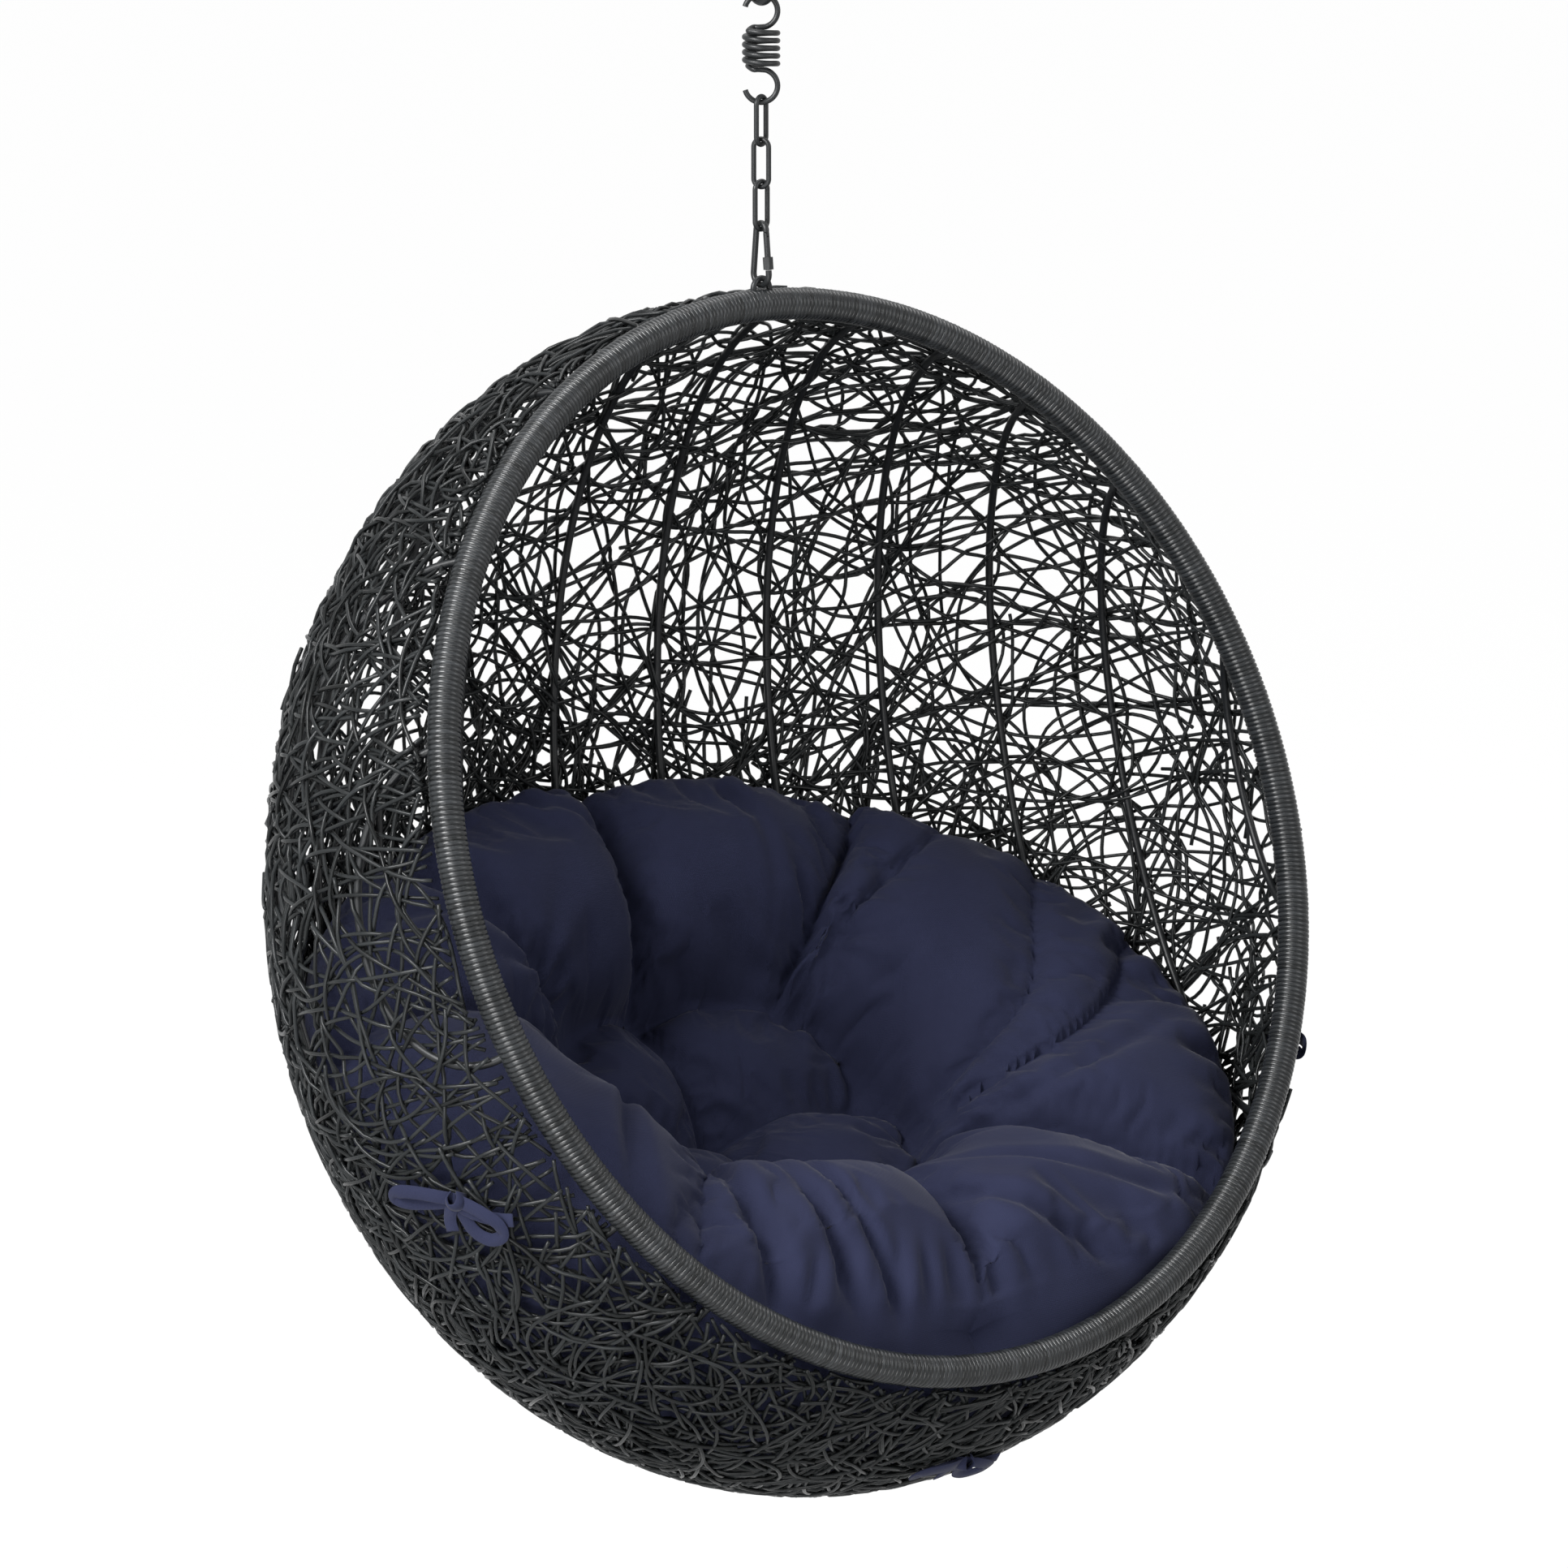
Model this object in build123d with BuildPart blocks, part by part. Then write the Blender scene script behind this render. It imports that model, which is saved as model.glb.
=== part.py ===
from build123d import *
import os
from math import asin, atan, atan2, ceil, cos, degrees, hypot, pi, radians, sin, sqrt

# Hanging basket chair, in millimetres.
# The origin is on the ceiling face that the eye bolt's collar seats on.
# +Z is up, and a sitter looks along -Y.

# Fits
WIRE_PLAY = 0.3  # between two wires that hang in one another
LAYER_PLAY = 0.6  # between the layers of the basket
HOLE_PLAY = 1.2  # round a rod where it comes out of the rim's winding
PIN_PLAY = 0.05  # between the gate and its pin, on the radius
FORK_PLAY = 0.3  # beside the tongue in the gate's fork
LATCH_PLAY = 0.4  # between the closed gate and the nose it meets

# Eye bolt in the ceiling
SHANK_DIAMETER = 10
SHANK_LENGTH = 40
COLLAR_DIAMETER = 24
COLLAR_HEIGHT = 4
EYE_WIRE = 8
EYE_INSIDE = 24
EYE_SINK = 2  # how deep the eye is forged into its collar
EYE_HEADING = 90  # of the eye's plane, degrees from +X

# Suspension spring: a coil with a hook at each end, bent from one wire
SPRING_WIRE = 5.5
SPRING_OUTSIDE = 37
SPRING_TURNS = 5
COIL_PITCH = 7.3
HOOK_BEND = 6  # radius where the coil turns in towards a hook
HOOK_TIP = 15  # how far the hook's tip stops short of half round, degrees
SPRING_HEADING = -40

# Chain
LINK_WIRE = 5
LINK_LENGTH = 51
LINK_WIDTH = 21
LINK_HEADINGS = (14, -68, 2)

# Carabiner: a pear of wire, narrow at the top, with a screw gate
CARABINER_WIRE = 6
CARABINER_LENGTH = 65.5
CARABINER_TOP_RADIUS = 7  # wire centre line
CARABINER_BASE_RADIUS = 11
CARABINER_HEADING = -90
GATE_DROP = 5  # from the top bend to the gate's pin
NOSE_LENGTH = 3
TONGUE_THICKNESS = 2.4
TONGUE_RADIUS = 2.8
PIN_DIAMETER = 2
SLEEVE_LENGTH = 12
SLEEVE_FLATS = 9
SLEEVE_LIFT = 0.5  # the unscrewed sleeve's height above the latch

# Lifting ring: a bent rod welded on top of the rim
LIFT_WIRE = 6
LIFT_RADIUS = 10
LIFT_HEIGHT = 26  # from the rim tube's centre line to the ring's

# Rim: a round hoop of tube that leans back, wound with cane
RIM_RADIUS = 522
RIM_LEAN = 20.5
RIM_TUBE = 25
RIM_WALL = 1.5
RIM_VENT = 5
WRAP_CANE = 3.2

# Bowl behind the rim: part of a flattened sphere
BOWL_OVERHANG = 50  # how far its widest circle stands out past the rim's centre line
BOWL_HALF_DEPTH = 366
BOWL_TILT = 8  # from the rim's axis to the bowl's

# Ribs: steel rods that fan out from the rim's top to its bottom
RIB_ROD = 8
RIBS_EACH_SIDE = 6
RIB_FAN = 850  # from the rim's plane forward to the line where the ribs' planes meet
RIB_SPREAD = 0.975  # how far out the last rib lands, as a share of the rim's radius
RIB_SPANS = 12

# Woven cane over the ribs
WEAVE_THICKNESS = 4
WEAVE_EDGE = 35  # plain band next to the rim
WEAVE_ROWS = 7  # openings down each bay between two ribs
OPENING_WIDTH = 0.66  # as a share of the bay
OPENING_HEIGHT = 0.76  # as a share of the row

# Cushion: a round tufted pad that lies in the bowl
PAD_DROP = 725  # from the rim's top down to the plane of the pad's edge
PAD_SLOPE = 33
EDGE_LOBES = 10
EDGE_LOBE_HEADING = 64
EDGE_LOBE_RADIUS = 180
EDGE_LOBE_INSET = 100
EDGE_LOBE_DEPTH = 150
SEAT_LOBES = 4
SEAT_LOBE_HEADING = 45
SEAT_LOBE_RADIUS = 165
SEAT_LOBE_REACH = 150
SEAT_LOBE_DEPTH = 258
PAD_CORE_DEPTH = 150

# Tape ties, each knotted in a bow on the outside of the weave
TAPE_WIDTH = 13
TAPE_THICKNESS = 1.5
BOW_LOOP = 48
BOW_RISE = 13
BOW_TAIL = 62
BOW_TAIL_SPLAY = 22
KNOT_SIZE = 17
TIE_PLACES = {"tie_left": (199, -4), "tie_right": (-19, -4), "tie_bottom": (270, -51)}  # heading, dip

SIDE = Vector(1, 0, 0)
UP = Vector(0, 0, 1)


def polar(radius, angle):
    return Vector(radius * cos(radians(angle)), radius * sin(radians(angle)), 0)


def upright(heading, height):
    """A vertical plane on the hanging axis: local x along the heading, local y up."""
    return Plane(UP * height, x_dir=polar(1, heading), z_dir=polar(1, heading - 90))


def biarcs(stations):
    """Joins points with given tangents by pairs of tangent arcs."""
    for (start, leave), (end, arrive) in zip(stations, stations[1:]):
        chord = end - start
        turn = 1 - leave.dot(arrive)
        if turn < 1e-9:
            Line(start, end)
            continue
        reach = chord.dot(leave + arrive)
        arm = (sqrt(reach**2 + 2 * turn * chord.dot(chord)) - reach) / (2 * turn)
        first = start + leave * arm
        second = end - arrive * arm
        middle = (first + second) * 0.5
        TangentArc(start, middle, tangent=leave)
        TangentArc(middle, end, tangent=second - first)


def sweep_wire(path, diameter):
    """Sweeps a round section along a path, in the part that is being built."""
    with BuildSketch(Plane(path @ 0, z_dir=path % 0)) as section:
        Circle(diameter / 2)
    sweep(section.sketch, path=path)


def save(part, name):
    part.label = name
    export_step(part, f"parts/{name}.step")


os.makedirs("parts", exist_ok=True)

# Heights of the hanging hardware's wire centres, from the ceiling down
eye_radius = (EYE_INSIDE + EYE_WIRE) / 2
eye_centre = EYE_SINK - COLLAR_HEIGHT - EYE_WIRE / 2 - eye_radius
eye_low = eye_centre - eye_radius
coil_radius = (SPRING_OUTSIDE - SPRING_WIRE) / 2
hook_high = eye_low + (EYE_WIRE + SPRING_WIRE) / 2 + WIRE_PLAY

# Eye bolt
with BuildPart() as hanger_eye:
    with BuildSketch(Plane.XY.offset(-COLLAR_HEIGHT)):
        Circle(COLLAR_DIAMETER / 2)
    extrude(amount=COLLAR_HEIGHT)
    with BuildSketch(Plane.XY):
        Circle(SHANK_DIAMETER / 2)
    extrude(amount=SHANK_LENGTH)
    eye_plane = upright(EYE_HEADING, eye_centre)
    with BuildSketch(Plane(eye_plane.origin + eye_plane.x_dir * eye_radius, x_dir=eye_plane.x_dir,
                           z_dir=UP)):
        Circle(EYE_WIRE / 2)
    revolve(axis=Axis(eye_plane.origin, eye_plane.z_dir))
save(hanger_eye.part, "hanger_eye")

# Spring: each hook is most of a circle, and its wire turns in from the coil's edge
turn_in = sqrt(coil_radius**2 - 2 * coil_radius * HOOK_BEND)
bend_turn = 90 + degrees(atan2(HOOK_BEND, turn_in))
coil_start = 90 + bend_turn
coil_end = 360 * SPRING_TURNS + 270 - bend_turn
coil_slope = atan(COIL_PITCH / (2 * pi * coil_radius))
coil_high = hook_high - 2 * coil_radius
coil_low = coil_high - COIL_PITCH * (coil_end - coil_start + 2 * bend_turn) / 360
hook_low = coil_low - 2 * coil_radius
spring_along = polar(1, SPRING_HEADING)
spring_across = polar(1, SPRING_HEADING + 90)


def hook_station(centre, angle):
    """A point and tangent on a hook, which runs clockwise in the spring's plane."""
    point = spring_along * (coil_radius * cos(radians(angle))) + UP * (centre + coil_radius * sin(radians(angle)))
    return point, spring_along * sin(radians(angle)) - UP * cos(radians(angle))


def coil_station(angle):
    """A point and tangent on the coil, which runs anticlockwise and down."""
    fall = COIL_PITCH * (angle - coil_start + bend_turn) / 360
    outward = spring_along * cos(radians(angle)) + spring_across * sin(radians(angle))
    onward = spring_across * cos(radians(angle)) - spring_along * sin(radians(angle))
    point = outward * coil_radius + UP * (coil_high - fall)
    return point, onward * cos(coil_slope) - UP * sin(coil_slope)


hook_swing = (270 - HOOK_TIP) / 3
quarter_turns = ceil((coil_end - coil_start) / 90)
coil_step = (coil_end - coil_start) / quarter_turns
spring_stations = [hook_station(hook_high - coil_radius, 180 - HOOK_TIP - hook_swing * i) for i in range(4)]
spring_stations.append((spring_along * -turn_in + UP * coil_high, -spring_along))
spring_stations += [coil_station(coil_start + coil_step * i) for i in range(quarter_turns + 1)]
spring_stations.append((spring_along * -turn_in + UP * coil_low, spring_along))
spring_stations += [hook_station(coil_low - coil_radius, 90 - hook_swing * i) for i in range(4)]
with BuildPart() as spring:
    with BuildLine() as spring_line:
        biarcs(spring_stations)
    spring_path = spring_line.wire()
    sweep_wire(spring_path, SPRING_WIRE)
save(spring.part, "suspension_spring")

# The spring's least gap to itself, on points more than half a turn apart along the wire
samples = ceil(spring_path.length)
spring_points = [spring_path.position_at(i / samples) for i in range(samples + 1)]
apart = ceil(pi * coil_radius)
nearest = min(
    (spring_points[i] - spring_points[j]).length
    for i in range(len(spring_points))
    for j in range(i + apart, len(spring_points))
)
print(f"spring: wire {spring_path.length:.1f} long, least gap to itself {nearest - SPRING_WIRE:.2f}")


# Chain links
def chain_link(top, heading):
    """A straight-sided link of round wire whose top wire's centre is at the given height."""
    bend = (LINK_WIDTH - LINK_WIRE) / 2
    run = (LINK_LENGTH - LINK_WIDTH) / 2
    with BuildPart() as link:
        with BuildLine(upright(heading, top - bend - run)) as line:
            Line((bend, -run), (bend, run))
            ThreePointArc((bend, run), (0, run + bend), (-bend, run))
            Line((-bend, run), (-bend, -run))
            ThreePointArc((-bend, -run), (0, -run - bend), (bend, -run))
        path = line.wire()
        sweep_wire(path, LINK_WIRE)
    return link.part


link_top = hook_low + (SPRING_WIRE + LINK_WIRE) / 2 + WIRE_PLAY
for number, link_heading in enumerate(LINK_HEADINGS, start=1):
    save(chain_link(link_top, link_heading), f"chain_link_{number}")
    link_low = link_top - (LINK_LENGTH - LINK_WIRE)
    link_top = link_low + LINK_WIRE + WIRE_PLAY

# Carabiner, drawn in its own plane with the top wire's centre at local y 0
carabiner_top = link_low + (LINK_WIRE + CARABINER_WIRE) / 2 + WIRE_PLAY
carabiner_low = carabiner_top - (CARABINER_LENGTH - CARABINER_WIRE)
carabiner_plane = upright(CARABINER_HEADING, carabiner_top)
wire_radius = CARABINER_WIRE / 2
top_bend = Vector(0, -CARABINER_TOP_RADIUS)
base_bend = Vector(0, carabiner_low - carabiner_top + CARABINER_BASE_RADIUS)
side_rise = (CARABINER_BASE_RADIUS - CARABINER_TOP_RADIUS) / (top_bend - base_bend).length
side_run = sqrt(1 - side_rise**2)
gate_outward = Vector(side_run, side_rise)
gate_along = Vector(side_rise, -side_run)
back_outward = Vector(-side_run, side_rise)
gate_top = top_bend + gate_outward * CARABINER_TOP_RADIUS
gate_base = base_bend + gate_outward * CARABINER_BASE_RADIUS
pivot = gate_top + gate_along * GATE_DROP
latch = gate_base - gate_along * NOSE_LENGTH
wire_end = pivot - gate_along * (wire_radius + LATCH_PLAY)
gate_length = (latch - pivot).length


def on_carabiner(point):
    """A point of the carabiner's own drawing, in the chair's frame."""
    return carabiner_plane.from_local_coords(point)


gate_plane = Plane(on_carabiner(pivot), x_dir=carabiner_plane.z_dir,
                   z_dir=on_carabiner(latch) - on_carabiner(pivot))

with BuildPart() as carabiner_body:
    back_top = top_bend + back_outward * CARABINER_TOP_RADIUS
    back_base = base_bend + back_outward * CARABINER_BASE_RADIUS
    base_low = base_bend - Vector(0, CARABINER_BASE_RADIUS)
    nose = latch + gate_along * LATCH_PLAY
    with BuildLine() as body_line:
        Line(on_carabiner(wire_end), on_carabiner(gate_top))
        ThreePointArc(on_carabiner(gate_top), carabiner_plane.origin, on_carabiner(back_top))
        Line(on_carabiner(back_top), on_carabiner(back_base))
        ThreePointArc(on_carabiner(back_base), on_carabiner(base_low), on_carabiner(gate_base))
        Line(on_carabiner(gate_base), on_carabiner(nose))
    body_path = body_line.wire()
    sweep_wire(body_path, CARABINER_WIRE)
    with BuildSketch(carabiner_plane):
        with BuildLine():
            Polyline(pivot + gate_outward * TONGUE_RADIUS, gate_top + gate_outward * TONGUE_RADIUS,
                     gate_top - gate_outward * TONGUE_RADIUS, pivot - gate_outward * TONGUE_RADIUS, close=True)
        make_face()
        with Locations(pivot):
            Circle(TONGUE_RADIUS)
            Circle(PIN_DIAMETER / 2, mode=Mode.SUBTRACT)
    extrude(amount=TONGUE_THICKNESS / 2, both=True)
save(carabiner_body.part, "carabiner_body")

with BuildPart() as carabiner_gate:
    with BuildSketch(gate_plane.offset(-wire_radius)):
        Circle(wire_radius)
    extrude(amount=wire_radius + gate_length)
    with BuildSketch(carabiner_plane):
        with BuildLine():
            Polyline(pivot + gate_outward * wire_radius, latch + gate_outward * wire_radius,
                     latch - gate_outward * wire_radius, pivot - gate_outward * wire_radius, close=True)
        make_face()
        with Locations(pivot):
            Circle(wire_radius)
    extrude(amount=wire_radius, both=True, mode=Mode.INTERSECT)
    with BuildSketch(carabiner_plane):
        with Locations(pivot):
            Circle(wire_radius + FORK_PLAY)
    extrude(amount=TONGUE_THICKNESS / 2 + FORK_PLAY, both=True, mode=Mode.SUBTRACT)
    with BuildSketch(carabiner_plane):
        with Locations(pivot):
            Circle(PIN_DIAMETER / 2 + PIN_PLAY)
    extrude(amount=wire_radius, both=True, mode=Mode.SUBTRACT)
save(carabiner_gate.part, "carabiner_gate")

with BuildPart() as carabiner_pin:
    with BuildSketch(carabiner_plane):
        with Locations(pivot):
            Circle(PIN_DIAMETER / 2)
    extrude(amount=wire_radius, both=True)
save(carabiner_pin.part, "carabiner_pin")

with BuildPart() as carabiner_sleeve:
    with BuildSketch(gate_plane.offset(gate_length - SLEEVE_LIFT - SLEEVE_LENGTH)):
        RegularPolygon(SLEEVE_FLATS / 2, 6, major_radius=False)
        Circle(wire_radius + WIRE_PLAY, mode=Mode.SUBTRACT)
    extrude(amount=SLEEVE_LENGTH)
save(carabiner_sleeve.part, "carabiner_sleeve")

# Rim and bowl frames: the rim's plane leans back, and the bowl's axis is tilted from the rim's
lift_top = carabiner_low + (CARABINER_WIRE + LIFT_WIRE) / 2 + WIRE_PLAY
rim_top = lift_top - LIFT_HEIGHT
lean = radians(RIM_LEAN)
tilt = radians(BOWL_TILT)
rim_up = Vector(0, sin(lean), cos(lean))
rim_back = Vector(0, cos(lean), -sin(lean))
bowl_up = Vector(0, sin(lean - tilt), cos(lean - tilt))
bowl_back = Vector(0, cos(lean - tilt), -sin(lean - tilt))
rim_centre = UP * rim_top - rim_up * RIM_RADIUS
rim_plane = Plane(rim_centre, x_dir=SIDE, z_dir=rim_back)
tube_radius = RIM_TUBE / 2
wrap_radius = tube_radius + WRAP_CANE

# The bowl's centre is where its cut by the rim's plane has the rim's own height
bowl_half_width = RIM_RADIUS + BOWL_OVERHANG
wide = 1 / bowl_half_width**2
deep = 1 / BOWL_HALF_DEPTH**2
sink = sin(tilt) * cos(tilt) * (wide - deep) / (wide * cos(tilt)**2 + deep * sin(tilt)**2)
cut = 1 - RIM_RADIUS**2 * (wide * cos(tilt)**2 + deep * sin(tilt)**2)
bowl_offset = sqrt(cut / (wide * (sin(tilt) - sink * cos(tilt))**2 + deep * (sink * sin(tilt) + cos(tilt))**2))
bowl_centre = rim_centre + rim_up * (sink * bowl_offset) + rim_back * bowl_offset
bowl_plane = Plane(bowl_centre, x_dir=bowl_up, z_dir=-SIDE)
bowl_axis = Axis(bowl_centre, bowl_back)


def bowl_exit(start, way, growth):
    """Where a ray from inside leaves the bowl, with the bowl grown by a wall."""
    axes = ((SIDE, bowl_half_width), (bowl_up, bowl_half_width), (bowl_back, BOWL_HALF_DEPTH))
    rate = Vector(*(way.dot(axis) / (half + growth) for axis, half in axes))
    place = Vector(*((start - bowl_centre).dot(axis) / (half + growth) for axis, half in axes))
    along = place.dot(rate)
    travel = (sqrt(along**2 + rate.dot(rate) * (1 - place.dot(place))) - along) / rate.dot(rate)
    return start + way * travel


def bowl_normal(point):
    """The outward normal of the bowl at a point on it."""
    radial = point - bowl_centre
    back = radial.dot(bowl_back)
    return ((radial - bowl_back * back) * wide + bowl_back * (back * deep)).normalized()


def bowl_outline(growth, mode=Mode.ADD):
    Ellipse(bowl_half_width + growth, BOWL_HALF_DEPTH + growth, mode=mode)


# Lifting ring
with BuildPart() as lifting_ring:
    with BuildLine(upright(0, rim_top)) as lift_line:
        lift_shoulder = LIFT_HEIGHT - LIFT_RADIUS
        Line((-LIFT_RADIUS, 0), (-LIFT_RADIUS, lift_shoulder))
        ThreePointArc((-LIFT_RADIUS, lift_shoulder), (0, LIFT_HEIGHT), (LIFT_RADIUS, lift_shoulder))
        Line((LIFT_RADIUS, lift_shoulder), (LIFT_RADIUS, 0))
    lift_path = lift_line.wire()
    sweep_wire(lift_path, LIFT_WIRE)
    with Locations(rim_plane):
        Torus(RIM_RADIUS, tube_radius, mode=Mode.SUBTRACT)
save(lifting_ring.part, "lifting_ring")

# Rim tube, with a vent drilled in its back at the bottom
with BuildPart() as rim_tube:
    with Locations(rim_plane):
        Torus(RIM_RADIUS, tube_radius)
        Torus(RIM_RADIUS, tube_radius - RIM_WALL, mode=Mode.SUBTRACT)
    with BuildSketch(Plane(rim_centre - rim_up * RIM_RADIUS, z_dir=rim_back)):
        Circle(RIM_VENT / 2)
    extrude(amount=RIM_TUBE, mode=Mode.SUBTRACT)
save(rim_tube.part, "rim_tube")


# Ribs
def rib_station(number, share):
    """A point and tangent where a rib's plane cuts the bowl, at a share of the way down from the rim's top."""
    landing = RIM_RADIUS * RIB_SPREAD * number / RIBS_EACH_SIDE
    outward = (rim_back + SIDE * (landing / RIB_FAN)).normalized()
    way = rim_up * cos(pi * share) + outward * sin(pi * share)
    point = bowl_exit(rim_centre + SIDE * landing, way, 0)
    return point, bowl_normal(point).cross(outward.cross(rim_up)).normalized()


def rib_stations(number):
    return [rib_station(number, i / RIB_SPANS) for i in range(RIB_SPANS + 1)]


rib_numbers = range(-RIBS_EACH_SIDE, RIBS_EACH_SIDE + 1)
for rib_number in rib_numbers:
    with BuildPart() as rib:
        with BuildLine() as rib_line:
            biarcs(rib_stations(rib_number))
        rib_path = rib_line.wire()
        sweep_wire(rib_path, RIB_ROD)
        with Locations(rim_plane):
            Torus(RIM_RADIUS, tube_radius, mode=Mode.SUBTRACT)
    save(rib.part, f"rib_{rib_number + RIBS_EACH_SIDE + 1:02d}")


# Rim winding: a sleeve in two half rings, with a hole for each rib's end and each leg of the lifting ring
def wrap_half(half):
    """The upper half of the winding for 1, the lower for -1."""
    with BuildPart() as sleeve:
        with BuildSketch(Plane(rim_centre + SIDE * (half * RIM_RADIUS), x_dir=SIDE, z_dir=rim_up)):
            Circle(wrap_radius)
            Circle(tube_radius, mode=Mode.SUBTRACT)
        revolve(axis=Axis(rim_centre, -rim_back), revolution_arc=180)
        for number in rib_numbers:
            stations = rib_stations(number)
            end, leave = stations[0] if half > 0 else (stations[-1][0], -stations[-1][1])
            with BuildSketch(Plane(end, z_dir=leave)):
                Circle(RIB_ROD / 2 + HOLE_PLAY)
            extrude(amount=RIM_TUBE, mode=Mode.SUBTRACT)
        if half > 0:
            with BuildSketch(Plane.XY.offset(rim_top)):
                with Locations((-LIFT_RADIUS, 0), (LIFT_RADIUS, 0)):
                    Circle(LIFT_WIRE / 2 + HOLE_PLAY)
            extrude(amount=LIFT_HEIGHT, mode=Mode.SUBTRACT)
    return sleeve.part


with BuildPart() as rim_wrap:
    add(wrap_half(1), clean=False)
    add(wrap_half(-1), clean=False)
save(rim_wrap.part, "rim_wrap")


# Woven shell over the ribs, open at the rim, with a grid of openings between the ribs
weave_inside = RIB_ROD / 2 + LAYER_PLAY
weave_outside = weave_inside + WEAVE_THICKNESS
pad_middle = UP * (rim_top - PAD_DROP)
tie_seats = {}
for tie_name, (heading, dip) in TIE_PLACES.items():
    tie_way = polar(cos(radians(dip)), heading) + UP * sin(radians(dip))
    tie_seats[tie_name] = bowl_exit(pad_middle, tie_way, weave_outside)


def opening(bay, row):
    """The place, width and height of an opening in the weave, between one rib and the next."""
    chord = sqrt(RIM_RADIUS**2 - (RIM_RADIUS * RIB_SPREAD * (bay + 0.5) / RIBS_EACH_SIDE)**2)
    edge = asin(WEAVE_EDGE / chord) / pi
    pitch = (1 - 2 * edge) / WEAVE_ROWS
    share = edge + pitch * (row + 0.5)
    middle, down = rib_station(bay + 0.5, share)
    outward = bowl_normal(middle)
    width = (rib_station(bay, share)[0] - rib_station(bay + 1, share)[0]).length
    height = (rib_station(bay + 0.5, share - pitch / 2)[0] - rib_station(bay + 0.5, share + pitch / 2)[0]).length
    place = Plane(middle, x_dir=down.cross(outward), z_dir=outward)
    return place, width * OPENING_WIDTH, height * OPENING_HEIGHT


openings = []
for bay in range(RIBS_EACH_SIDE):
    for row in range(WEAVE_ROWS):
        place, width, height = opening(bay, row)
        # The weave stays whole where a tie is knotted
        if min((seat - place.origin).length for seat in tie_seats.values()) < hypot(width, height) / 2:
            continue
        with BuildPart() as cutter:
            with BuildSketch(place):
                Rectangle(width, height)
            extrude(amount=width / 2, both=True)
        openings.append(cutter.part)
with BuildPart() as weave_shell:
    with BuildSketch(bowl_plane):
        bowl_outline(weave_inside + WEAVE_THICKNESS)
        bowl_outline(weave_inside, mode=Mode.SUBTRACT)
        split(bisect_by=Plane.YZ)
    revolve(axis=bowl_axis, revolution_arc=180)
    split(bisect_by=rim_plane)
    with Locations(rim_plane):
        Torus(RIM_RADIUS, wrap_radius + LAYER_PLAY, mode=Mode.SUBTRACT)
    add(openings, mode=Mode.SUBTRACT)
    mirror(about=Plane.YZ)
save(weave_shell.part, "weave_shell")

# Cushion: lobes round its edge and in its seat, joined by a core and trimmed to the bowl
pad_plane = Plane(pad_middle, x_dir=SIDE,
                  z_dir=(0, -sin(radians(PAD_SLOPE)), cos(radians(PAD_SLOPE))))
pad_inside = -RIB_ROD / 2 - LAYER_PLAY


def pad_way(angle):
    """A direction in the plane of the pad's edge."""
    return pad_plane.x_dir * cos(radians(angle)) + pad_plane.y_dir * sin(radians(angle))


edge_lobe_centres = []
for lobe in range(EDGE_LOBES):
    way = pad_way(EDGE_LOBE_HEADING + 360 * lobe / EDGE_LOBES)
    wall = bowl_exit(pad_plane.origin, way, pad_inside)
    edge_lobe_centres.append(wall - way * EDGE_LOBE_INSET - pad_plane.z_dir * EDGE_LOBE_DEPTH)
seat_lobe_centres = []
for lobe in range(SEAT_LOBES):
    way = pad_way(SEAT_LOBE_HEADING + 360 * lobe / SEAT_LOBES)
    seat_lobe_centres.append(pad_plane.origin + way * SEAT_LOBE_REACH - pad_plane.z_dir * SEAT_LOBE_DEPTH)

with BuildPart() as cushion:
    with BuildSketch(bowl_plane):
        bowl_outline(pad_inside)
        split(bisect_by=Plane.YZ)
    revolve(axis=bowl_axis, revolution_arc=180)
    split(bisect_by=rim_plane.offset(wrap_radius + LAYER_PLAY))
    mirror(about=Plane.YZ)
    bowl_room = cushion.part
    split(bisect_by=pad_plane.offset(-PAD_CORE_DEPTH), keep=Keep.BOTTOM)
    with Locations(edge_lobe_centres):
        Sphere(EDGE_LOBE_RADIUS)
    with Locations(seat_lobe_centres):
        Sphere(SEAT_LOBE_RADIUS)
    add(bowl_room, mode=Mode.INTERSECT)
save(cushion.part, "cushion")


# Ties
def bow(place):
    """A bow of tape: two loops and two tails from one knot, lying on a plane with local y up the wall."""
    with BuildPart() as tape:
        with BuildSketch(place.offset(LAYER_PLAY)):
            Rectangle(KNOT_SIZE, KNOT_SIZE)
        extrude(amount=BOW_RISE)
        for end in (-1, 1):
            loop_plane = Plane(place.origin + place.z_dir * (LAYER_PLAY + BOW_RISE / 2)
                               + place.x_dir * (end * BOW_LOOP / 2), x_dir=place.x_dir, z_dir=-place.y_dir)
            with BuildSketch(loop_plane):
                SlotOverall(BOW_LOOP, BOW_RISE)
                SlotOverall(BOW_LOOP - 2 * TAPE_THICKNESS, BOW_RISE - 2 * TAPE_THICKNESS, mode=Mode.SUBTRACT)
            extrude(amount=TAPE_WIDTH / 2, both=True)
            with BuildSketch(place.offset(LAYER_PLAY)):
                tail_way = polar(BOW_TAIL / 2, end * BOW_TAIL_SPLAY - 90)
                with Locations(Location(tail_way, (0, 0, end * BOW_TAIL_SPLAY))):
                    Rectangle(TAPE_WIDTH, BOW_TAIL)
            extrude(amount=TAPE_THICKNESS)
    return tape.part


for tie_name, tie_seat in tie_seats.items():
    tie_normal = bowl_normal(tie_seat)
    save(bow(Plane(tie_seat, x_dir=UP.cross(tie_normal), z_dir=tie_normal)), tie_name)
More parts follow.
